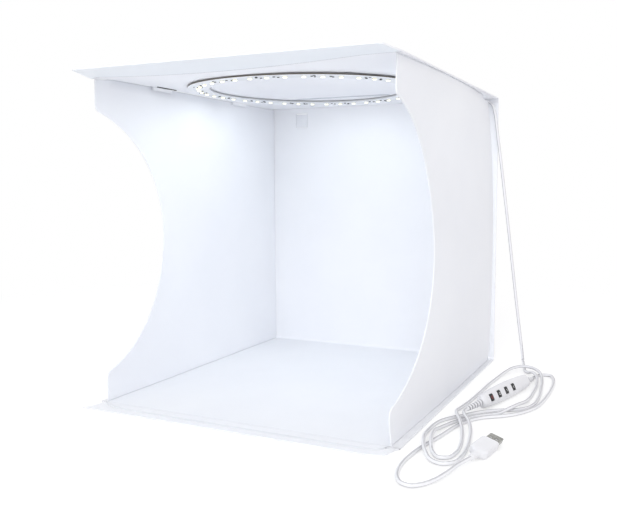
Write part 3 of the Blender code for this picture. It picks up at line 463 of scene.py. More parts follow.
def smooth_line(route, step):
    """Evenly spaced points on a cubic Hermite line through the route's points, and its length.

    Each end slope is the mean of the two chords beside it, weighted the other way
    round by their lengths; no point lies lower than a cord resting on the ground.
    """
    points = np.array(route, float)
    chords = np.linalg.norm(np.diff(points, axis=0), axis=1)
    runs = np.diff(points, axis=0) / chords[:, None]
    before, after = chords[:-1, None], chords[1:, None]
    slopes = np.vstack([runs[:1], (runs[:-1] * after + runs[1:] * before) / (before + after),
                        runs[-1:]])
    t = np.linspace(0, 1, 24, endpoint=False)[None, :, None]
    p0, p1 = points[:-1, None], points[1:, None]
    m0, m1 = slopes[:-1, None] * chords[:, None, None], slopes[1:, None] * chords[:, None, None]
    fine = ((2 * t**3 - 3 * t**2 + 1) * p0 + (t**3 - 2 * t**2 + t) * m0
            + (3 * t**2 - 2 * t**3) * p1 + (t**3 - t**2) * m1).reshape(-1, 3)
    fine = np.vstack([fine, points[-1:]])
    length = float(travelled(fine)[-1])
    even = even_points(fine, round(length / step) + 1)
    even[:, 2] = np.maximum(even[:, 2], CORD_RADIUS)
    return even, length


def bezier(a, b, c, d, steps=49):
    """Points on a cubic Bezier line, which leaves a toward b and comes into d from c."""
    t = np.linspace(0, 1, steps)[:, None]
    return (1 - t)**3 * a + 3 * (1 - t)**2 * t * b + 3 * (1 - t) * t**2 * c + t**3 * d


def placed(matrix, points):
    """Points of a piece's own frame, in the frame of the whole."""
    m = np.array(matrix)
    return np.asarray(points) @ m[:3, :3].T + m[:3, 3]


def laid_down(place, turn, roll, half, rounding):
    """The frame of a rounded block on the ground: turned about Z, then rolled about its length.

    Its middle stands as high as the round edge that touches the ground asks for.
    """
    height = ((half[0] - rounding) * math.sin(roll) + (half[2] - rounding) * math.cos(roll)
              + rounding)
    return (Matrix.Translation((*place, height)) @ Matrix.Rotation(turn, 4, "Z")
            @ Matrix.Rotation(roll, 4, "Y"))


def pillow(half_x, half_y, low, high, soft, power=5.0, columns=24, rows=5):
    """A small moulded block with a superellipse outline, a flat foot and a soft top edge.

    Row by row: the middle of the foot, its rim, up the side, then round the top edge
    by a quarter circle of radius soft, and in to the middle of the top.
    """
    x, y = squared_circle(full_turn(columns), power)
    lean = np.linspace(0, math.pi / 2, rows)
    inmost = [min(half_x, half_y)]
    shrink = np.concatenate([inmost, [0.0], soft * (1 - np.cos(lean)), inmost])
    level = np.concatenate([[low, low], high - soft + soft * np.sin(lean), [high]])
    reach_x = np.maximum(half_x - shrink, 0.0)[:, None] * x
    reach_y = np.maximum(half_y - shrink, 0.0)[:, None] * y
    reach_x[[0, -1]] = 0.0
    reach_y[[0, -1]] = 0.0
    return on_grid(reach_x, reach_y, level[:, None])


# Finishes

def new_finish(name, **fixed):
    """A material whose even values are set on the shader's own sockets."""
    made = bpy.data.materials.new(name)
    made.use_nodes = True
    shader = made.node_tree.nodes["Principled BSDF"]
    for key, value in fixed.items():
        shader.inputs[key.replace("_", " ").title().replace("Ior", "IOR")].default_value = value
    return made, shader


def add(made, kind, inputs=None, **settings):
    """A node with its settings, and its inputs given as values or as other sockets."""
    node = made.node_tree.nodes.new(kind)
    for key, value in settings.items():
        setattr(node, key, value)
    for key, value in (inputs or {}).items():
        if isinstance(value, bpy.types.NodeSocket):
            made.node_tree.links.new(value, node.inputs[key])
        else:
            node.inputs[key].default_value = value
    return node


def from_object(made):
    """The piece's own coordinates."""
    return add(made, "ShaderNodeTexCoord").outputs["Object"]


def painted_shade_of(made):
    """The piece's painted shade, stored in its crease attribute."""
    return add(made, "ShaderNodeAttribute", attribute_name="crease").outputs["Fac"]


def noise(made, scale, detail=3.0, rough=0.5, stretch=(1.0, 1.0, 1.0)):
    """Noise over the piece's own coordinates, each axis multiplied by its stretch."""
    mapped = add(made, "ShaderNodeMapping", {"Vector": from_object(made), "Scale": stretch})
    return add(made, "ShaderNodeTexNoise", {"Vector": mapped.outputs["Vector"], "Scale": scale,
                                            "Detail": detail, "Roughness": rough}).outputs["Fac"]


def ramp(made, factor, *stops):
    """A colour ramp: stops are (place, colour)."""
    node = add(made, "ShaderNodeValToRGB", {"Fac": factor})
    elements = node.color_ramp.elements
    while len(elements) < len(stops):
        elements.new(0.5)
    for element, (spot, colour) in zip(elements, stops):
        element.position = spot
        element.color = (*colour, 1.0)
    return node.outputs["Color"]


def between(made, factor, low, high, start=0.3, end=0.7):
    """A value that runs from low to high as the factor runs from start to end."""
    return add(made, "ShaderNodeMapRange", {"Value": factor, "From Min": start, "From Max": end,
                                            "To Min": low, "To Max": high}).outputs["Result"]


def maths(made, operation, *values):
    """One operation of a Math node on values or sockets."""
    inputs = dict(enumerate(values))
    return add(made, "ShaderNodeMath", inputs, operation=operation).outputs["Value"]


def mixed(made, factor, a, b):
    """Colour a where the factor is 0, and colour b where it is 1; each a socket or a colour."""
    node = add(made, "ShaderNodeMix", data_type="RGBA")
    for key, value in (("Factor", factor), ("A", a), ("B", b)):
        socket = next(s for s in node.inputs if s.name == key and s.enabled)
        if isinstance(value, bpy.types.NodeSocket):
            made.node_tree.links.new(value, socket)
        else:
            socket.default_value = (*value, 1.0)
    return next(s for s in node.outputs if s.enabled)


def dress(made, shader, colour, rough, *reliefs):
    """Link a finish's colour, roughness and bumps to its shader.

    The bumps are stacked one on another; each is (height socket, depth, strength).
    """
    links = made.node_tree.links
    links.new(colour, shader.inputs["Base Color"])
    if rough is not None:
        links.new(rough, shader.inputs["Roughness"])
    normal = {}
    for height, depth, strength in reliefs:
        bump = add(made, "ShaderNodeBump", {"Height": height, "Distance": depth,
                                            "Strength": strength, **normal})
        normal = {"Normal": bump.outputs["Normal"]}
    links.new(normal["Normal"], shader.inputs["Normal"])
    return made


def sheet_finish(name, low, high):
    """Satin polypropylene sheet: faint clouding, a fine embossed grain, long soft waves,
    hair scratches that shine a little, and painted shade along each crease, step and top edge."""
    made, shader = new_finish(name, ior=1.49, subsurface_weight=0.6, subsurface_scale=0.0025,
                              subsurface_radius=(1.0, 1.0, 1.0))
    cloud = ramp(made, noise(made, 9.0, 4.0, 0.55), (0.30, low), (0.70, high))
    scratch = noise(made, 30.0, 2.0, 0.6, (1.0, 14.0, 14.0))
    worn = maths(made, "SUBTRACT", between(made, noise(made, 14.0), 0.42, 0.56),
                 between(made, scratch, 0.0, 0.07, 0.62, 0.75))
    return dress(made, shader, mixed(made, painted_shade_of(made), cloud, CREASE_SHADE_COLOUR), worn,
                 (noise(made, 11.0, 2.0), 0.0015, 0.22), (noise(made, 1500.0, 2.0), 0.00004, 0.30))


def cut_edge_finish():
    """The cut edge of the sheet: brighter, with fine lines left by the die along it."""
    made, shader = new_finish("sheet_cut_edge", ior=1.49)
    colour = ramp(made, noise(made, 60.0), (0.35, (0.84, 0.85, 0.89)), (0.65, (0.89, 0.90, 0.93)))
    return dress(made, shader, colour, between(made, noise(made, 240.0, 2.0), 0.34, 0.5),
                 (noise(made, 420.0, 2.0, 0.5, (0.15, 0.15, 4.0)), 0.00008, 0.5))


def moulded_finish(name, low, high, rough, grain, depth, cloud=40.0, **fixed):
    """Moulded plastic: a slight drift of colour, a spark-eroded grain, finger-polished patches."""
    made, shader = new_finish(name, **fixed)
    return dress(made, shader, ramp(made, noise(made, cloud), (0.32, low), (0.68, high)),
                 between(made, noise(made, cloud * 1.7), *rough),
                 (noise(made, grain, 2.0), depth, 0.4))


def ribbed_finish():
    """The reliefs' moulded plastic: painted shade greys the grooves between the ribs."""
    made, shader = new_finish("relief_plastic", ior=1.49)
    cloud = ramp(made, noise(made, 40.0), (0.32, (0.80, 0.80, 0.83)), (0.68, (0.85, 0.85, 0.87)))
    return dress(made, shader, mixed(made, painted_shade_of(made), cloud, (0.30, 0.30, 0.32)),
                 between(made, noise(made, 70.0), 0.34, 0.50),
                 (noise(made, 1400.0, 2.0), 0.00003, 0.4))


def sheath_finish():
    """Soft PVC sheath: the inner wires' twist shows as a faint long ripple along the cord, and
    painted shade greys the sheath towards its top and its underside, leaving its side lighter."""
    made, shader = new_finish("cord_sheath", ior=1.50, coat_weight=0.15, coat_roughness=0.3)
    where = add(made, "ShaderNodeTexCoord").outputs["UV"]
    turned_map = add(made, "ShaderNodeMapping", {"Vector": where, "Scale": (0.35, 1.0, 1.0)})
    twist = add(made, "ShaderNodeTexWave", {"Vector": turned_map.outputs["Vector"], "Scale": 1.0,
                                            "Distortion": 0.6, "Detail": 1.0},
                wave_type="BANDS", bands_direction="DIAGONAL").outputs["Fac"]
    tone = ramp(made, noise(made, 55.0), (0.3, (0.82, 0.82, 0.85)), (0.7, (0.87, 0.87, 0.89)))
    # The cord's top and underside are greyed: painted shade
    height = add(made, "ShaderNodeSeparateXYZ", {"Vector": where}).outputs["Y"]
    aside = maths(made, "ABSOLUTE", maths(made, "SUBTRACT", height, 0.13))
    edge_shade = between(made, aside, 0.0, 1.0, 0.17, 0.33)
    return dress(made, shader, mixed(made, edge_shade, tone, (0.50, 0.50, 0.52)),
                 between(made, noise(made, 120.0, 2.0), 0.36, 0.5),
                 (twist, 0.00012, 0.25), (noise(made, 1600.0, 2.0), 0.00003, 0.3))


def from_ring_middle(made):
    """Distance from the ring's standing axis."""
    centred = add(made, "ShaderNodeMapping", {"Vector": from_object(made),
                                              "Location": (-RING[0], -RING[1], 0.0),
                                              "Scale": (1.0, 1.0, 0.0)})
    return add(made, "ShaderNodeVectorMath", {0: centred.outputs["Vector"]},
               operation="LENGTH").outputs["Value"]


def board_edge_finish():
    """The ring's board: dark laminate in thin layers with pale fibres; its inner edge is paler,
    and painted lighter still against the shade it stands in."""
    made, shader = new_finish("board_brown", ior=1.5)
    layers = noise(made, 260.0, 3.0, 0.6, (0.3, 0.3, 12.0))
    laminate = ramp(made, layers, (0.30, (0.095, 0.080, 0.064)), (0.62, (0.150, 0.127, 0.102)),
                    (0.80, (0.23, 0.195, 0.155)))
    pale_and_lit_edge = ramp(made, layers, (0.35, (0.66, 0.67, 0.68)), (0.70, (0.80, 0.80, 0.80)))
    outward = between(made, from_ring_middle(made), 0.0, 1.0, 0.1030, 0.1045)
    return dress(made, shader, mixed(made, outward, pale_and_lit_edge, laminate),
                 between(made, layers, 0.42, 0.65), (layers, 0.00010, 0.5))


def board_face_finish():
    """White solder mask: two printed tracks round the ring stand a hair proud of it."""
    made, shader = new_finish("board_face_white", ior=1.52, coat_weight=0.2, coat_roughness=0.2)
    rings = maths(made, "PINGPONG", from_ring_middle(made), 0.0040)
    track = between(made, rings, 0.0, 1.0, 0.0030, 0.0034)
    return dress(made, shader, mixed(made, track, (0.86, 0.875, 0.90), (0.77, 0.80, 0.84)),
                 between(made, noise(made, 90.0), 0.28, 0.42),
                 (track, 0.00006, 0.6), (noise(made, 900.0, 2.0), 0.00003, 0.25))


def lens_finish():
    """Lit phosphor of an LED: near white, a little warmer and weaker in spots."""
    made, shader = new_finish("led_phosphor", roughness=0.35, emission_strength=1.5)
    grain = noise(made, 900.0, 2.0)
    phosphor = ramp(made, grain, (0.3, (0.62, 0.60, 0.42)), (0.7, (0.70, 0.68, 0.52)))
    glow = ramp(made, grain, (0.3, (1.0, 0.95, 0.62)), (0.7, (1.0, 0.98, 0.72)))
    made.node_tree.links.new(glow, shader.inputs["Emission Color"])
    return dress(made, shader, phosphor, None, (grain, 0.00003, 0.4))


def metal_finish(name, low, high, rough, stretch):
    """Plated metal with fine drawn lines, a drift of tone and dull handled patches."""
    made, shader = new_finish(name, metallic=1.0)
    lines = noise(made, 700.0, 3.0, 0.6, stretch)
    return dress(made, shader, ramp(made, noise(made, 160.0), (0.3, low), (0.7, high)),
                 between(made, lines, *rough), (lines, 0.00002, 0.35))


def board_green_finish():
    """Green solder mask over a web of copper tracks: the edges of Voronoi cells stand proud."""
    made, shader = new_finish("board_green", ior=1.52, coat_weight=0.3, coat_roughness=0.15)
    cells = add(made, "ShaderNodeTexVoronoi", {"Vector": from_object(made), "Scale": 420.0},
                feature="DISTANCE_TO_EDGE").outputs["Distance"]
    track = between(made, cells, 1.0, 0.0, 0.02, 0.07)
    return dress(made, shader, mixed(made, track, (0.025, 0.20, 0.09), (0.05, 0.30, 0.13)),
                 between(made, noise(made, 200.0, 2.0), 0.25, 0.4), (track, 0.00004, 0.6))


def tape_finish():
    """White foam tape: open cells along its cut sides and a dull skin."""
    made, shader = new_finish("foam_tape", sheen_weight=0.2)
    cells = noise(made, 1100.0, 4.0, 0.7)
    colour = ramp(made, cells, (0.3, (0.74, 0.75, 0.77)), (0.7, (0.86, 0.87, 0.88)))
    return dress(made, shader, colour, between(made, cells, 0.7, 0.9), (cells, 0.00015, 0.6))


def ink_finish(name, low, high):
    """Pad-printed ink: thin, satin, with pinholes."""
    made, shader = new_finish(name)
    holes = noise(made, 2600.0, 2.0)
    return dress(made, shader, ramp(made, holes, (0.25, low), (0.45, high)),
                 between(made, holes, 0.4, 0.55), (holes, 0.00002, 0.3))


SHEET_WHITE = sheet_finish("white_sheet", (0.835, 0.848, 0.892), (0.868, 0.879, 0.918))
# The top lip's sheet: the same sheet painted darker and bluer, painted shade as the lip tilts away
# from the ring's light
SHEET_LIP_SHADED = sheet_finish("lip_sheet", (0.785, 0.822, 0.872), (0.812, 0.846, 0.892))
SHEET_EDGE = cut_edge_finish()
RIBBED = ribbed_finish()
SHEATH = sheath_finish()
BOARD_EDGE = board_edge_finish()
BOARD_FACE = board_face_finish()
PHOSPHOR = lens_finish()
PLASTIC = moulded_finish("white_plastic", (0.79, 0.79, 0.815), (0.83, 0.83, 0.85),
                         rough=(0.30, 0.44), grain=1300.0, depth=0.00004, ior=1.5,
                         coat_weight=0.1, coat_roughness=0.25)
LED_CASE = moulded_finish("led_case", (0.80, 0.80, 0.79), (0.87, 0.87, 0.86),
                          rough=(0.35, 0.5), grain=1800.0, depth=0.00002, cloud=300.0)
RUBBER = moulded_finish("black_rubber", (0.010, 0.010, 0.011), (0.022, 0.022, 0.024),
                        rough=(0.45, 0.62), grain=2200.0, depth=0.00003, cloud=180.0)
CERAMIC = moulded_finish("resistor_black", (0.012, 0.012, 0.014), (0.035, 0.034, 0.036),
                         rough=(0.35, 0.5), grain=2600.0, depth=0.00002, cloud=500.0)
GREY_PLASTIC = moulded_finish("switch_grey", (0.17, 0.17, 0.18), (0.23, 0.23, 0.24),
                              rough=(0.4, 0.55), grain=1900.0, depth=0.00003, cloud=220.0)
STEEL = metal_finish("plug_steel", (0.27, 0.27, 0.255), (0.38, 0.38, 0.36), (0.20, 0.34),
                     stretch=(6.0, 0.4, 6.0))
SOLDER = metal_finish("solder_tin", (0.50, 0.50, 0.49), (0.62, 0.62, 0.61), (0.25, 0.45),
                      stretch=(1.0, 1.0, 1.0))
GOLD = metal_finish("contact_gold", (0.80, 0.58, 0.24), (0.90, 0.68, 0.32), (0.18, 0.3),
                    stretch=(6.0, 0.4, 6.0))
BOARD_GREEN = board_green_finish()
TAPE = tape_finish()
INK_WHITE = ink_finish("ink_white", (0.70, 0.70, 0.70), (0.84, 0.84, 0.84))
INK_RED = ink_finish("ink_red", (0.35, 0.02, 0.02), (0.50, 0.035, 0.03))


# Camera

lens = bpy.data.cameras.new("camera")
lens.sensor_width = 36.0
lens.lens = CAMERA_LENS
lens.shift_x, lens.shift_y = CAMERA_SHIFT
camera = bpy.data.objects.new("camera", lens)
camera.location = CAMERA_PLACE
camera.rotation_euler = CAMERA_TURN
scene.collection.objects.link(camera)
scene.camera = camera


# Cords

# The controller's own frame: X across its face, Y along it, Z out of its face
AT_CONTROLLER = laid_down(CONTROLLER_PLACE, CONTROLLER_TURN, CONTROLLER_ROLL, CONTROLLER_HALF,
                          CONTROLLER_ROUND)
# The plug's own frame: X across, Y toward its tip, Z up, from the middle of its overmould
AT_PLUG = laid_down(PLUG_PLACE, PLUG_TURN, PLUG_ROLL, PLUG_HALF, PLUG_ROUND)
ALONG = np.array(AT_CONTROLLER.to_3x3() @ Vector((0, 1, 0)))
INLET = np.array(AT_CONTROLLER @ Vector((0, -CONTROLLER_HALF[1] - GAP, 0)))
OUTLET = np.array(AT_CONTROLLER @ Vector((0, CONTROLLER_HALF[1] + GAP, 0)))
INLET_TIP = INLET - ALONG * RELIEF_LENGTH
NECK_END = np.array(AT_PLUG @ Vector((0, -PLUG_HALF[1] - NECK_LENGTH - GAP, 0)))
ONWARD = unit(np.array(LOWER_ROUTE[0]) - np.array(OUTLET_TIP))


def cord_piece(name, route, stands_for, body):
    """A round cord along its route, with its line and its length.

    Its UV map runs along the cord, and from its underside to its top as CORD_TOP sees it.
    """
    line, length = smooth_line(route, CORD_CENTRE_STEP)
    radii = np.full(len(line), CORD_RADIUS)
    cord = piece(name, closed(swept(line, radii, 16)), body, [SHEATH], stands_for)
    co = vertex_places(cord.data)
    nearest = np.linalg.norm(co[:, None] - line[None, ::2], axis=2).argmin(axis=1) * 2
    run = nearest * CORD_CENTRE_STEP / (math.tau * CORD_RADIUS)
    ahead = unit(np.gradient(line, axis=0))[nearest]
    top = unit(np.array(CORD_TOP) - (ahead @ np.array(CORD_TOP))[:, None] * ahead)
    up = np.clip(((co - line[nearest]) * top).sum(axis=1) / CORD_RADIUS, -1, 1)
    layer = cord.data.uv_layers.new(name="UVMap")
    corners = np.empty(len(cord.data.loops), np.int32)
    cord.data.loops.foreach_get("vertex_index", corners)
    uv = np.stack([run, np.arcsin(up) / math.pi], axis=1)[corners]
    layer.data.foreach_set("uv", uv.astype(np.float32).ravel())
    return cord, line, length


lead_cord, lead_line, lead_length = cord_piece("ring_lead_cord", LEAD_ROUTE, ["ring_lead"], None)
main_cord, main_line, main_length = cord_piece(
    "main_cord", [*UPPER_ROUTE, tuple(INLET_TIP - ALONG * GAP)], ["cord_upper"], "tent_base")
plug_cord, plug_line, plug_length = cord_piece(
    "plug_cord", [tuple(np.array(OUTLET_TIP) + ONWARD * GAP), *LOWER_ROUTE, tuple(NECK_END)],
    ["cord_lower"], "tent_base")
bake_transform(lead_cord)


# Controller

def strain_relief(name, path):
    """A tapered relief: its radius falls evenly, and rounded ribs stand on it.

    The rib height follows a squared-off cosine of the way along the path.
    """
    t = np.linspace(0, 1, 97)
    path = np.column_stack([np.interp(t, np.linspace(0, 1, len(path)), column)
                            for column in path.T])
    rib = eased(0.5 + 0.9 * np.cos(math.tau * RIB_COUNT * t))
    first, last = RELIEF_RADII
    depth = RIB_DEPTHS[0] - (RIB_DEPTHS[0] - RIB_DEPTHS[1]) * t
    radii = first + (last - first) * t - depth * (1 - rib)
    radii[-3:] *= (0.99, 0.95, 0.85)

    # Painted shade in the grooves between the ribs, kept in the crease attribute
    def groove_shade(co):
        nearest = np.linalg.norm(co[:, None] - path[None], axis=2).argmin(axis=1)
        return 0.9 * (1 - rib[nearest])

    return piece(name, closed(swept(path, radii, 28)), "tent_base", [RIBBED],
                 [name.replace("ribs", "relief")], groove_shade, angle=55.0)


reach = RELIEF_LENGTH / 3
inlet_ribs = strain_relief("controller_inlet_ribs", np.linspace(INLET, INLET_TIP, 49))
outlet_ribs = strain_relief("controller_outlet_ribs", bezier(
    OUTLET, OUTLET + ALONG * reach, np.array(OUTLET_TIP) - ONWARD * reach, np.array(OUTLET_TIP)))


def controller_half(name, upper, stands_for):
    """One half of the controller's skin, as a height over its length and width.

    Along y both half sizes fall from the middle to the ends as |y|^2.4, and close by
    a quarter ellipse at the noses, down to 0.35 and 0.45 of themselves. Across,
    |x/w|^p + |z/t|^p = 1. The upper half keeps four openings for its buttons.
    """
    half_x, half_y, half_z = CONTROLLER_HALF
    nose = half_y - CONTROLLER_NOSE
    lean = np.linspace(0, math.pi / 2, 9)[1:]
    opening_x, opening_y = (half + BUTTON_ROOM for half in BUTTON_HALF)
    edges = sorted(y + side * opening_y for _, y in BUTTONS for side in (-1, 1))
    y = np.concatenate([-nose - CONTROLLER_NOSE * np.sin(lean[::-1]),
                        spaced(-nose, *edges, nose, step=0.0024),
                        nose + CONTROLLER_NOSE * np.sin(lean)])
    closing = rounded_off((np.abs(y) - nose) / CONTROLLER_NOSE)
    fall = np.abs(y / half_y)**2.4
    wide = (half_x - CASE_FALL[0] * fall) * (0.35 + 0.65 * closing)
    thick = (half_z - CASE_FALL[1] * fall) * (0.45 + 0.55 * closing)
    wide[[0, -1]] = 0.0
    thick[[0, -1]] = 0.0
    held = np.clip(opening_x / np.maximum(wide, 1e-6), 0, 0.9)
    held = np.arcsin(held ** (CASE_POWER / 2))[:, None]
    outer = np.linspace(-1, 0, 11)[:-1]
    inner = np.linspace(-1, 1, 13)
    turn = np.concatenate([-held + outer * (math.pi / 2 - held), inner * held,
                           held - outer[::-1] * (math.pi / 2 - held)], axis=1)
    high, across = squared_circle(turn, CASE_POWER)
    flip = 1.0 if upper else -1.0
    points = on_grid(wide[:, None] * across, y[:, None], flip * (thick[:, None] * high + GAP / 2))
    keep = np.ones((len(y) - 1, turn.shape[1] - 1), bool)
    if upper:
        middle = middles(y)
        column = np.arange(turn.shape[1] - 1)
        over_face = (column >= len(outer)) & (column < len(outer) + len(inner) - 1)
        for _, spot in BUTTONS:
            rows = np.abs(middle - spot) < opening_y
            keep &= ~(rows[:, None] & over_face[None, :])
    return piece(name, open_sheet(placed(AT_CONTROLLER, points), keep=keep), "tent_base",
                 [PLASTIC], stands_for, thickness=CONTROLLER_WALL,
                 bevel=0.0002, angle=50.0)


upper_case = controller_half("controller_upper_case", True, ["controller_upper_shell"])
lower_case = controller_half("controller_lower_case", False, ["controller_lower_shell"])


def ribbon(line, width, close=False):
    """A flat printed line: two edges, half a width to each side of a line of points."""
    if close:
        line = np.vstack([line, line[:1]])
    ahead = np.gradient(line, axis=0)
    if close:
        ahead[0] = ahead[-1] = line[1] - line[-2]
    side = unit(pairs(-ahead[:, 1], ahead[:, 0]))
    edges = np.stack([line - side * width / 2, line + side * width / 2], axis=1)
    return np.dstack([edges, np.full(edges.shape[:2], MARK_LEVEL)])


def arc_line(radius, start, end, steps=20):
    """Points on an arc, angles in degrees from +X toward +Y."""
    turn = np.radians(np.linspace(start, end, steps))
    return pairs(radius * np.cos(turn), radius * np.sin(turn))


STROKE = pairs(0.0, np.linspace(0.0004, 0.0017, 4))
CHEVRON = np.array([(-0.0011, -0.0005), (-0.00055, 0.0001), (0.0, 0.0007), (0.00055, 0.0001),
                    (0.0011, -0.0005)])
SYMBOLS = {
    "power": [ribbon(arc_line(0.0012, -240, 60), 0.00034), ribbon(STROKE, 0.00034)],
    "mode": [ribbon(arc_line(0.0011, 0, 345, 24), 0.00042, close=True)],
    "up": [ribbon(CHEVRON, 0.00045)],
    "down": [ribbon(CHEVRON * (1, -1), 0.00045)],
}
button_pieces = []
for label, spot in BUTTONS:
    at_button = AT_CONTROLLER @ Matrix.Translation((0, spot, 0))
    cap = pillow(*BUTTON_HALF, BUTTON_FOOT, BUTTON_TOP, BUTTON_SOFT, power=6.0, columns=32)
    cap_piece = piece(f"cap_{label}", closed(placed(at_button, cap)), f"button_{label}",
                      [RUBBER], [f"button_{label}"], angle=60.0)
    marks = open_sheet(*(placed(at_button, strip) for strip in SYMBOLS[label]))
    mark_piece = piece(f"symbol_{label}", marks, f"button_{label}",
                       [INK_RED if label == "power" else INK_WHITE],
                       thickness=MARK_THICKNESS)
    button_pieces += [cap_piece, mark_piece]


# Plug

def plug_body():
    """The overmould: a superellipse section along Y that closes softly at the metal end,
    narrows at round shoulders to the neck, and turns from square to round on the way."""
    half_x, half_y, half_z = PLUG_HALF
    neck_end, nose = -half_y - NECK_LENGTH, half_y - PLUG_NOSE
    lean = np.linspace(0, 1, 7)[1:] * math.pi / 2
    y = np.concatenate([np.linspace(neck_end, -0.0145, 16), np.linspace(-0.0142, -0.0085, 18),
                        np.linspace(-0.008, nose, 20), nose + PLUG_NOSE * np.sin(lean)])
    shoulder = eased((y - SHOULDER_BACK) / SHOULDER_LENGTH)
    along_neck = np.clip((y - neck_end) / NECK_LENGTH, 0, 1)
    neck = NECK_RADII[0] + (NECK_RADII[1] - NECK_RADII[0]) * along_neck
    closing = rounded_off((y - nose) / PLUG_NOSE)
    x, z = squared_circle(full_turn(56), (2.0 + 3.6 * shoulder)[:, None])
    sizes = []
    for half in (half_x, half_z):
        size = (neck * (1 - shoulder) + half * shoulder) - PLUG_NOSE_IN * (1 - closing)
        size[0] *= 0.86
        sizes.append(size[:, None])
    rows = on_grid(sizes[0] * x, y[:, None], sizes[1] * z)
    return capped((0.0, y[0], 0.0), rows, (0.0, y[-1], 0.0))


def plug_shell():
    """The metal shell: a rounded oblong tube with two square holes in each broad face."""
    half_x, half_z = SHELL_HALF
    bend = np.radians(np.linspace(0, 90, 5))
    beside = spaced(*SHELL_HOLE_X, half_x - SHELL_CORNER, step=0.002)
    across = np.concatenate([
        -beside[::-1], spaced(-SHELL_HOLE_X[0], SHELL_HOLE_X[0], step=0.002)[1:-1], beside])
    right = pairs(half_x - SHELL_CORNER + SHELL_CORNER * np.sin(bend),
                  half_z - SHELL_CORNER + SHELL_CORNER * np.cos(bend))
    quarter = np.vstack([pairs(across, half_z), right[1:]])
    loop = np.vstack([quarter, -quarter])
    hole_low, hole_high = (SHELL_START + way for way in SHELL_HOLE_Y)
    y = spaced(SHELL_START, hole_low, hole_high, SHELL_START + SHELL_LENGTH, step=0.002)
    middle_x = np.abs(loop[:, 0] + np.roll(loop[:, 0], -1)) / 2
    middle_y = middles(y)
    flat = np.isclose(loop[:, 1], np.roll(loop[:, 1], -1))
    in_hole = flat & (middle_x > SHELL_HOLE_X[0]) & (middle_x < SHELL_HOLE_X[1])
    in_row = (middle_y > hole_low) & (middle_y < hole_high)
    return on_grid(loop[:, 0], y[:, None], loop[:, 1]), ~(in_row[:, None] & in_hole[None, :])


overmould = piece("usb_grip", closed(placed(AT_PLUG, plug_body())), "tent_base", [PLASTIC],
                  ["usb_overmould"], angle=60.0)
shell_points, shell_keep = plug_shell()
metal = piece("usb_metal", [(placed(AT_PLUG, shell_points), True, shell_keep)], "tent_base",
              [STEEL], ["usb_shell"], thickness=0.0004, bevel=0.00008)
core_block = pillow(0.0047, 0.0040, -0.0002, 0.0016, 0.0002, power=8.0) + (0.0, CORE_Y, 0.0)
core = piece("usb_core", closed(placed(AT_PLUG, core_block)), "tent_base", [PLASTIC])

controller_parts = [upper_case, lower_case, inlet_ribs, outlet_ribs, *button_pieces]
controller_parts += [nodes[n] for n in ("controller_board", "switch_power", "switch_mode",
                                        "switch_up", "switch_down")]
plug_parts = [overmould, metal, core, nodes["usb_tongue"]]
plug_parts += [nodes[f"usb_contact_{i}"] for i in (1, 2, 3, 4)]


# Panels

def shade_near_line(axis, value, reach=0.0009, share=1.0):
    """Painted shade along a line across an axis, a crease or a wall's top: the share on it, 0 from
    the reach away.
    """
    def tone(co):
        return share * fading(np.abs(co[:, axis] - value), reach)
    return tone


def shade_near_step(co):
    """Painted shade on the bottom lip: strongest at its embossed step, fainter along its crease."""
    plan = pairs(co[:, 0], FRONT - GAP / 2 - co[:, 1])
    line = even_points(np.array(BOTTOM_LIP_STEP), LIP_COLUMNS)
    away = np.linalg.norm(plan[:, None] - line[None], axis=2).min(axis=1)
    return np.maximum(0.35 * fading(away, 0.0012), shade_near_line(1, FRONT, share=0.25)(co))


def floor_and_back():
    """Floor and back panel as one bent sheet: a line in Y and Z with a round corner, run
    along X. The two hook openings are left out of the back."""
    mid_back = INNER_BACK + SHEET / 2
    start = FRONT + GAP / 2
    flat = spaced(*(start + way for way in CREASE_ROWS), mid_back - CREASE_BEND, step=0.012)
    bend = np.radians(np.linspace(0, 90, 9))[1:-1]
    rise = spaced(SHEET / 2 + CREASE_BEND, HOOK_LOW, HOOK_HIGH, HEIGHT, step=0.012)
    corner = pairs(mid_back - CREASE_BEND + CREASE_BEND * np.sin(bend),
                   SHEET / 2 + CREASE_BEND * (1 - np.cos(bend)))
    line = np.vstack([pairs(flat, SHEET / 2), corner, pairs(mid_back, rise)])
    x = spaced(-HALF, -HOOK_X - HOOK_HALF, -HOOK_X + HOOK_HALF, HOOK_X - HOOK_HALF,
               HOOK_X + HOOK_HALF, HALF, step=0.012)
    middle_z = middles(line[:, 1])
    rows = (middle_z > HOOK_LOW) & (middle_z < HOOK_HIGH)
    columns = np.abs(np.abs(middles(x)) - HOOK_X) < HOOK_HALF
    return on_grid(x, line[:, :1], line[:, 1:]), ~(rows[:, None] & columns[None, :])


def front_hang(x):
    """How far the lid's front crease hangs: a parabola about a point left of its middle."""
    return np.maximum(CREASE_SAG * (1 - ((x - SAG_MIDDLE) / SAG_HALF)**2), -SAG_RISE)


def ring_hang(y):
    """How far the ring hangs: a parabola from front to back, lowest at the front."""
    t = np.clip((y - RING[1]) / BOARD_OUTER, -1.0, 1.0)
    return RING_SIDES + RING_TILT * t + RING_BEND * t**2


def lid_drop(x, y):
    """How far the lid hangs: the larger of its front crease's hang, which dies out backwards,
    and the ring's pull on the sheet around it; its left edge settles at the front and lifts
    behind. The larger of a and b is taken softly, as (a + b + sqrt((a - b)^2 + s)) / 2."""
    ahead = y - FRONT
    front = front_hang(x) * fading(ahead, SAG_REACH)
    lift = (eased((ahead - EDGE_RISES[0]) / EDGE_RISES[1])
            - eased((y - EDGE_FALLS[0]) / EDGE_FALLS[1]))
    edge = EDGE_DROP * fading(ahead, EDGE_DROP_REACH) - EDGE_LIFT * lift
    away = np.hypot(x - RING[0], y - RING[1])
    ring = (DISH + ring_hang(y)) * fading(away - DISH_EDGE, DISH_REACH)
    larger = (front + ring + np.sqrt((front - ring)**2 + HANG_SOFT)) / 2
    return larger - HANG_LOSS + edge * fading(x + HALF, EDGE_REACH)


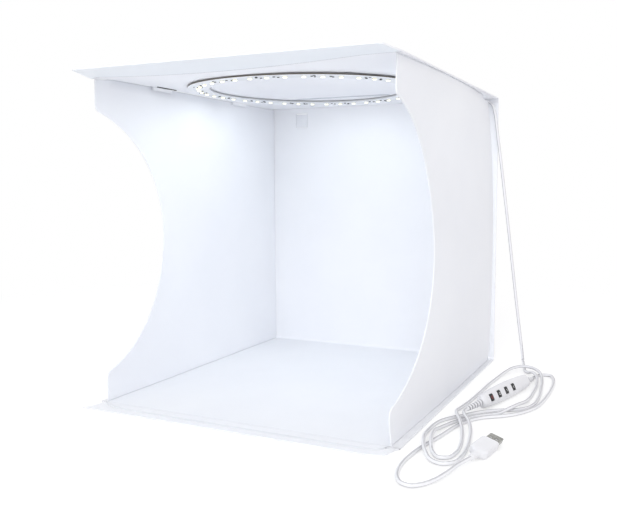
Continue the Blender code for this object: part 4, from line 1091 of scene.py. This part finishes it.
def top_lip():
    """The top lip: its half width narrows forward, then closes by a small round corner.

    It hangs with the crease behind it; the hang dies out to the front, which curls up.
    """
    long, corner = TOP_LIP_LENGTH, TOP_LIP_CORNER
    bend = np.linspace(0, math.pi / 2, 8)[1:]
    depth = np.concatenate([spaced(0.0, 0.0004, 0.0010, 0.002, long - corner, step=0.004),
                            long - corner + corner * np.sin(bend)])
    rounding = corner * (1 - rounded_off((depth - long + corner) / corner))
    share = np.clip(depth / (long - corner), 0, 1)
    left, right = ((HALF - inset * share - rounding)[:, None] for inset in TOP_LIP_INSETS)
    u = (np.sin(np.linspace(-1, 1, 49) * math.pi / 2) + 1) / 2
    x = -left + (left + right) * u
    t = (depth / long)[:, None]
    drop = lid_drop(x, np.full(x.shape, FRONT))
    return on_grid(x, FRONT - GAP / 2 - depth[:, None],
                   MID_Z - drop * (1 - t) + TOP_LIP_LIFT * t**2)


def bottom_lip():
    """The bottom lip, in rows from its crease to a low embossed step and on to its outline.

    The outline has a pointed left corner and a round right one. The step's line leaves
    both walls' feet and runs parallel to the front.
    """
    outer = even_points(np.array(BOTTOM_LIP_EDGE), LIP_COLUMNS)
    inner = even_points(np.array(BOTTOM_LIP_STEP), LIP_COLUMNS)
    u = np.linspace(-1, 1, LIP_COLUMNS)
    crease = pairs(HALF * u, 0.0)
    apart = np.linalg.norm(outer - inner, axis=1)[:, None]
    step_foot = inner + (outer - inner) * STEP_RUN / np.maximum(apart, 2 * STEP_RUN)
    to_step = np.array([0.0, 0.06, 0.25, 0.6, 0.9, 0.97])[:, None, None]
    to_edge = np.array([0.0, 0.1, 0.35, 0.7, 1.0])[:, None, None]
    raised = crease + (inner - crease) * to_step
    rise = BOTTOM_LIP_RISE * eased(np.linalg.norm(raised - crease, axis=2) / CREASE_RISE_RUN)
    plan = np.concatenate([raised, step_foot + (outer - step_foot) * to_edge])
    level = SHEET / 2 + np.vstack([rise, np.zeros((len(to_edge), LIP_COLUMNS))])
    return on_grid(plan[..., 0], FRONT - GAP / 2 - plan[..., 1], level)


def window_reach(turn, clearance=0.0):
    """Distance from the ring's middle to the window's edge: a circle with a straight rear side."""
    rise = np.sin(turn)
    chord = (WINDOW_CHORD - clearance) / np.maximum(rise, 1e-6)
    radius = WINDOW_RADIUS - clearance
    return np.where(rise > 1e-6, np.minimum(radius, chord), radius)


def lid_patches():
    """The lid: a grid with its four slots and a square block left out, and a collar that
    runs straight from the window's edge out to that block. Both hang by lid_drop."""
    slope = WINDOW_CHORD / WINDOW_RADIUS
    corner = WINDOW_BLOCK * math.cos(math.asin(slope)) / slope
    block = spaced(-WINDOW_BLOCK, -corner, corner, WINDOW_BLOCK, step=0.009)
    x = np.unique(np.round(np.concatenate([
        spaced(-HALF, -SLOT_X[1], -SLOT_X[0], RING[0] - WINDOW_BLOCK, step=0.010),
        RING[0] + block,
        spaced(RING[0] + WINDOW_BLOCK, *SLOT_X, HALF, step=0.010)]), 7))
    edge = FRONT + GAP / 2
    y = np.unique(np.round(np.concatenate([
        spaced(*(edge + way for way in CREASE_ROWS), RING[1] - WINDOW_BLOCK, step=0.004),
        RING[1] + block, *SLOT_Y,
        spaced(RING[1] + WINDOW_BLOCK, INNER_BACK - GAP / 2, step=0.010)]), 7))
    gx, gy = np.meshgrid(x, y)
    mx, my = np.meshgrid(middles(x), middles(y))
    in_slot = ((np.abs(mx) > SLOT_X[0]) & (np.abs(mx) < SLOT_X[1])
               & np.any([(my > low) & (my < high) for low, high in SLOT_Y], axis=0))
    in_block = (np.abs(mx - RING[0]) < WINDOW_BLOCK) & (np.abs(my - RING[1]) < WINDOW_BLOCK)
    outer = on_grid(gx, gy, MID_Z - lid_drop(gx, gy))
    xs, ys = (lines[np.abs(lines - middle) < WINDOW_BLOCK + 1e-6] - middle
              for lines, middle in ((x, RING[0]), (y, RING[1])))
    sides = (pairs(WINDOW_BLOCK, ys), pairs(xs[::-1], WINDOW_BLOCK),
             pairs(-WINDOW_BLOCK, ys[::-1]), pairs(xs, -WINDOW_BLOCK))
    rim = np.vstack([side[:-1] for side in sides])
    turn = np.arctan2(rim[:, 1], rim[:, 0])
    start = window_reach(turn)[:, None] * pairs(np.cos(turn), np.sin(turn))
    t = np.linspace(0, 1, 4)[:, None, None]
    flat = start[None] * (1 - t) + rim[None] * t + np.array(RING)
    collar = np.dstack([flat, MID_Z - lid_drop(flat[..., 0], flat[..., 1])])
    return open_sheet(outer, keep=~(in_slot | in_block)) + closed(collar)


def window_flap():
    """The window's flap: circles about the ring's middle, cut off by a straight rear side."""
    corner = math.asin(WINDOW_CHORD / WINDOW_RADIUS)
    turn = np.concatenate([np.linspace(corner, math.pi - corner, 24, endpoint=False),
                           np.linspace(math.pi - corner, math.tau + corner, 72, endpoint=False)])
    share = np.array([0.0, 0.3, 0.6, 0.85, 1.0])[:, None]
    far = window_reach(turn, GAP) * share
    x, y = RING[0] + far * np.cos(turn), RING[1] + far * np.sin(turn)
    return on_grid(x, y, MID_Z - lid_drop(x, y))


def bowed(share, up, table):
    """A smooth surface through a table of heights: Lagrange polynomials each way through its
    evenly spaced stops. The table is in mm."""
    def weights(t, stops):
        return [np.prod([(t - other) / (own - other) for other in stops if other != own], axis=0)
                for own in stops]
    back, rise = weights(share, np.linspace(0, 1, 3)), weights(up, np.linspace(0, 1, 4))
    return sum(back[i] * rise[j] * table[i][j] for i in range(3) for j in range(4)) / 1000


def side_wall(side):
    """A side wall: rows run from the cut-out's edge straight back to the rear edge.

    The front edge is straight, then a small round, then the large arc ahead of it,
    mirrored above. The left wall reaches on to the back panel. The sheet bows in and
    out by a polynomial surface that its foot holds back, and its top edge follows the
    lid, nearer to it at two shoulders.
    """
    length = WALL_LENGTH + (REAR_REACH if side < 0 else 0.0)
    reach = math.sqrt((ARC_RADIUS + ARC_FILLET)**2 - (ARC_AHEAD + ARC_FILLET)**2)
    lean = math.atan2(reach, ARC_AHEAD + ARC_FILLET)
    turn = math.pi - np.linspace(0, lean, 8)
    low = pairs(ARC_FILLET + ARC_FILLET * np.cos(turn),
                ARC_HEIGHT - reach + ARC_FILLET * np.sin(turn))
    sweep = np.linspace(-lean, lean, 64)
    cut = pairs(-ARC_AHEAD + ARC_RADIUS * np.cos(sweep), ARC_HEIGHT + ARC_RADIUS * np.sin(sweep))
    high = pairs(low[::-1, 0], 2 * ARC_HEIGHT - low[::-1, 1])
    foot = spaced(WALL_FOOT, ARC_HEIGHT - reach, step=0.006)[:-1]
    head = spaced(ARC_HEIGHT + reach, WALL_TOP - 0.002, WALL_TOP, step=0.006)[1:]
    edge = np.vstack([pairs(0.0, foot), low, cut[1:-1], high, pairs(0.0, head)])
    stops = [s for a, b in SHOULDERS for s in (a, a + 0.0003, b - 0.0003, b)]
    columns = spaced(*CREASE_ROWS, *stops, length - 0.002, length, step=0.008)
    back = edge[:, :1] + (length - edge[:, :1]) * columns / length
    z = np.broadcast_to(edge[:, 1:], back.shape).copy()
    up = (z - WALL_FOOT) / (WALL_TOP - WALL_FOOT)
    held = 0.4 + 0.6 * eased((z - WALL_FOOT) / FOOT_HELD)
    x = side * (WALL_X + held * bowed(back / length, up, LEFT_BOW if side < 0 else RIGHT_BOW))
    y = WALL_FRONT + back
    z[-1] = LID_UNDER - WALL_CLEARANCE - lid_drop(x[-1], y[-1])
    if side > 0:
        z[-1] -= CORD_NOTCH[1] * eased((columns - CORD_NOTCH[0]) / 0.008)
    z[-2] = z[-1] - SHEET
    for a, b in SHOULDERS:
        z[-1, (columns > a + 1e-6) & (columns < b - 1e-6)] += SHOULDER_RISE
    return on_grid(x, y, z)


def panel(name, patches, body, stands_for, tone, bevel=SHEET_BEVEL):
    """A piece of the white sheet with its cut edges."""
    return piece(name, patches, body, [SHEET_WHITE, SHEET_EDGE], stands_for, tone,
                 bevel=bevel, thickness=SHEET)


# Painted shade along each sheet's crease, from its crease attribute
floor_points, floor_keep = floor_and_back()
panel("floor_and_back_sheet", open_sheet(floor_points, keep=floor_keep), "tent_base",
      ["bottom_panel", "back_panel"], shade_near_line(1, FRONT, share=0.25))
panel("bottom_lip_sheet", open_sheet(bottom_lip()), "bottom_lip", ["bottom_front_lip"], shade_near_step)
panel("lid_sheet", lid_patches(), "lid", ["top_panel"], shade_near_line(1, FRONT))
lip = piece("top_lip_sheet", open_sheet(top_lip()), None, [SHEET_LIP_SHADED, SHEET_EDGE],
            ["top_front_lip"], shade_near_line(1, FRONT), bevel=SHEET_BEVEL, thickness=SHEET)
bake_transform(lip)
panel("window_flap_sheet", closed(window_flap()), "flap", ["window_flap"],
      shade_near_line(1, RING[1] + WINDOW_CHORD, reach=0.0022), bevel=0.0002)
# Each wall is painted darker along its top edge: painted shade from the narrow gap under the lid
for wall, side in (("left", -1), ("right", 1)):
    panel(f"{wall}_wall_sheet", open_sheet(side_wall(side)), f"{wall}_side", [f"{wall}_wall"],
          shade_near_line(2, WALL_TOP + 0.0026, reach=0.0026, share=0.6))


# Ring of light

def hung(points):
    """Points of the level ring, moved to where it hangs."""
    x, y, z = np.moveaxis(points, -1, 0)
    return on_grid(x, y, z - ring_hang(y))


def ring_layer(profile, steps):
    """A closed profile of (radius, height) points turned about the ring's standing axis."""
    profile = np.array([*profile, profile[0]], float)
    turn = full_turn(steps)
    r, z = profile[:, :1], profile[:, 1:]
    return hung(on_grid(RING[0] + r * np.cos(turn), RING[1] + r * np.sin(turn), z))


def hanging(half_across, half_along, drop, soft, start=0.0, columns=12, power=6.0):
    """A small block that hangs from the board's face, its soft end down; it starts below it."""
    block = pillow(half_across, half_along, 0.0, drop - start, soft, power, columns, rows=3)
    return block * (1.0, 1.0, -1.0) + (0.0, 0.0, FACE_LOW - start)


def turned(shape, turn, radius):
    """The shape moved out to a radius, then turned about the ring's middle to each angle."""
    x, y, z = shape[..., 0] + radius, shape[..., 1], shape[..., 2]
    return closed(*(hung(on_grid(RING[0] + x * math.cos(a) - y * math.sin(a),
                                 RING[1] + x * math.sin(a) + y * math.cos(a), z)) for a in turn))


def ring_piece(name, patches, finish, stands_for=()):
    """A piece of the ring, which hangs from the lid."""
    piece(name, patches, "lid", [finish], stands_for)


def chamfered(inner, outer, low, high, cut):
    """An oblong profile of (radius, height) points with its four corners cut off."""
    return [(inner, low + cut), (inner + cut, low), (outer - cut, low), (outer, low + cut),
            (outer, high - cut), (outer - cut, high), (inner + cut, high), (inner, high - cut)]


board_profile = chamfered(BOARD_INNER, BOARD_OUTER, BOARD_LOW, BOARD_HIGH, BOARD_CHAMFER)
ring_piece("ring_board_layer", closed(ring_layer(board_profile, 256)), BOARD_EDGE,
           ["led_ring_board"])
face_profile = [(BOARD_INNER + 0.0002, FACE_LOW), (BOARD_OUTER - 0.0002, FACE_LOW),
                (BOARD_OUTER - 0.0001, FACE_TOP), (BOARD_INNER + 0.0001, FACE_TOP)]
ring_piece("ring_face_layer", closed(ring_layer(face_profile, 256)), BOARD_FACE,
           ["led_ring_leds"])
foam_in, foam_out, foam_low = FOAM
foam = ring_layer([(foam_in, foam_low), (foam_out, foam_low), (foam_out, LID_UNDER),
                   (foam_in, LID_UNDER)], 192)
foam[2:4, :, 2] = LID_UNDER - FOAM_ROOM - lid_drop(foam[2:4, :, 0], foam[2:4, :, 1])
ring_piece("ring_foam_tape", closed(foam), TAPE, ["led_ring_tape"])

led_turns = LED_START + math.tau * np.arange(LED_COUNT) / LED_COUNT
ring_piece("led_cases", turned(hanging(*LED_CASE_SIZE), led_turns, LED_RADIUS), LED_CASE)
lens_shape = hanging(*LED_LENS_SIZE, start=LED_LENS_START, columns=14, power=2.6)
ring_piece("led_lenses", turned(lens_shape, led_turns, LED_RADIUS), PHOSPHOR)
between_leds = led_turns + math.tau / LED_COUNT / 2
between_leds = between_leds[np.arange(LED_COUNT) % 3 != 0]
resistors = []
for size, every, aside, outward in RESISTORS:
    resistors += turned(hanging(*size), between_leds[::every] + aside, LED_RADIUS + outward)
ring_piece("ring_resistors", resistors, CERAMIC)
solder_turns = np.column_stack([led_turns - SOLDER_ASIDE, led_turns + SOLDER_ASIDE]).ravel()
ring_piece("ring_solder", turned(hanging(*SOLDER_SIZE, columns=8), solder_turns, LED_RADIUS),
           SOLDER)


def slot_shadow_strip(side):
    """A thin dark strip at the inner edge of a front slot, beside the lid's tongue: painted shadow
    of the slot's gap.
    """
    front, rear = SLOT_Y[0]
    x, y = side * (SLOT_X[0] - SHADOW_STRIP_INSET), (front + rear) / 2
    shadow_block = pillow(SHADOW_STRIP_HALF, (rear - front) / 2, *SHADOW_STRIP_LEVELS, SHADOW_STRIP_SOFT, power=12.0, columns=32)
    return shadow_block + (x, y, LID_UNDER - float(lid_drop(np.array(x), np.array(y))))


# Painted shadow: dark strips in the front slots' gaps
ring_piece("slot_shadow_strips", closed(slot_shadow_strip(-1), slot_shadow_strip(1)), RUBBER)


# Solids that are shown as they are

for names, finish in (
    (("left_backdrop_hook", "right_backdrop_hook", "lid_tongue_left_front", "lid_tongue_left_back",
      "lid_tongue_right_front", "lid_tongue_right_back"), SHEET_EDGE),
    (("led_ring_connector", "lead_clip", "cord_clip", "usb_tongue"), PLASTIC),
    (("controller_board",), BOARD_GREEN),
    (("switch_power", "switch_mode", "switch_up", "switch_down"), GREY_PLASTIC),
    (("usb_contact_1", "usb_contact_2", "usb_contact_3", "usb_contact_4"), GOLD),
):
    for node in names:
        for slot in nodes[node].material_slots:
            slot.material = finish


# Floor, lamps and world

def seen(made):
    """1 for rays that show the background: straight from the camera, in gloss, or through glass."""
    path = add(made, "ShaderNodeLightPath").outputs
    shown = maths(made, "MAXIMUM", path["Is Camera Ray"], path["Is Glossy Ray"])
    return maths(made, "MAXIMUM", shown, path["Is Transmission Ray"])


def chosen(made, factor, first, second):
    """The first shader where the factor is 0, and the second where it is 1."""
    return add(made, "ShaderNodeMixShader", {0: factor, 1: first, 2: second}).outputs[0]


def plain(made, kind, colour, strength=None):
    """A shader of one even colour."""
    fixed = {"Color": (*colour, 1.0)}
    if strength is not None:
        fixed["Strength"] = strength
    return add(made, kind, fixed).outputs[0]


def floor_finish():
    """White paper floor. Where it is seen, part of its white is its own, so that it meets the
    white behind it, and the object's shadow still shows on the rest."""
    made = bpy.data.materials.new("studio_floor")
    made.use_nodes = True
    made.node_tree.nodes.clear()
    lit = plain(made, "ShaderNodeBsdfDiffuse", (0.94, 0.94, 0.94))
    shown = plain(made, "ShaderNodeBsdfDiffuse", (0.50, 0.50, 0.50))
    own = plain(made, "ShaderNodeEmission", WHITE, FLOOR_OWN)
    near = add(made, "ShaderNodeAddShader", {0: shown, 1: own}).outputs[0]
    far = plain(made, "ShaderNodeEmission", WHITE, 1.0)
    away = add(made, "ShaderNodeVectorMath", {0: from_object(made)},
               operation="LENGTH").outputs["Value"]
    both = chosen(made, between(made, away, 0.0, 1.0, *FLOOR_FADE), near, far)
    add(made, "ShaderNodeOutputMaterial", {"Surface": chosen(made, seen(made), lit, both)})
    return made


floor_mesh = bpy.data.meshes.new("studio_floor")
span = np.linspace(-5.0, 5.0, 5)
floor_mesh.from_pydata(on_grid(span, span[:, None], FLOOR_LEVEL).reshape(-1, 3).tolist(), [],
                       grid_faces(5, 5).tolist())
floor_mesh.materials.append(floor_finish())
floor_object = bpy.data.objects.new("studio_floor", floor_mesh)
scene.collection.objects.link(floor_object)


def lamp(name, place, aim, size, power, colour):
    """A soft round lamp that the camera doesn't see."""
    data = bpy.data.lights.new(name, "AREA")
    data.shape = "DISK"
    data.size = size
    data.energy = power
    data.color = colour
    thing = bpy.data.objects.new(name, data)
    thing.location = place
    thing.rotation_euler = (Vector(aim) - Vector(place)).to_track_quat("-Z", "Y").to_euler()
    thing.visible_camera = False
    scene.collection.objects.link(thing)
    return thing


def round_ring(radius, turn, height):
    """A place at a radius and an angle from the ring's middle."""
    return RING[0] + radius * math.cos(turn), RING[1] + radius * math.sin(turn), height


lamp("front_lamp", place=(0.55, -1.95, 1.35), aim=(0.0, 0.0, 0.10), size=1.4, power=19.8,
     colour=(0.96, 0.985, 1.0))
ring_lamps = [lamp("ring_lamp", place=(*RING, 0.3030), aim=(*RING, 0.0), size=0.225,
                   power=0.190, colour=(0.92, 0.985, 1.0))]
for k, turn in enumerate(np.arange(12) * math.tau / 12):
    power = (SMALL_LAMP_POWER + SMALL_LAMP_REAR * max(0.0, math.sin(turn))
             - SMALL_LAMP_LEFT * max(0.0, -math.cos(turn)))
    ring_lamps.append(lamp(f"ring_lamp_{k}", place=round_ring(LED_RADIUS, turn, 0.2960),
                           aim=round_ring(0.160, turn, 0.2400), size=0.02, power=power,
                           colour=(0.91, 0.985, 1.0)))
for ring_lamp in ring_lamps:
    ring_lamp.visible_glossy = False
    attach(ring_lamp, "lid")

world = bpy.data.worlds.new("studio")
world.use_nodes = True
scene.world = world
world.node_tree.nodes.clear()
sky = plain(world, "ShaderNodeBackground", SKY_COLOUR, SKY_STRENGTH)
backdrop = plain(world, "ShaderNodeBackground", WHITE, 1.0)
add(world, "ShaderNodeOutputWorld", {"Surface": chosen(world, seen(world), sky, backdrop)})

scene.view_settings.view_transform = "Standard"
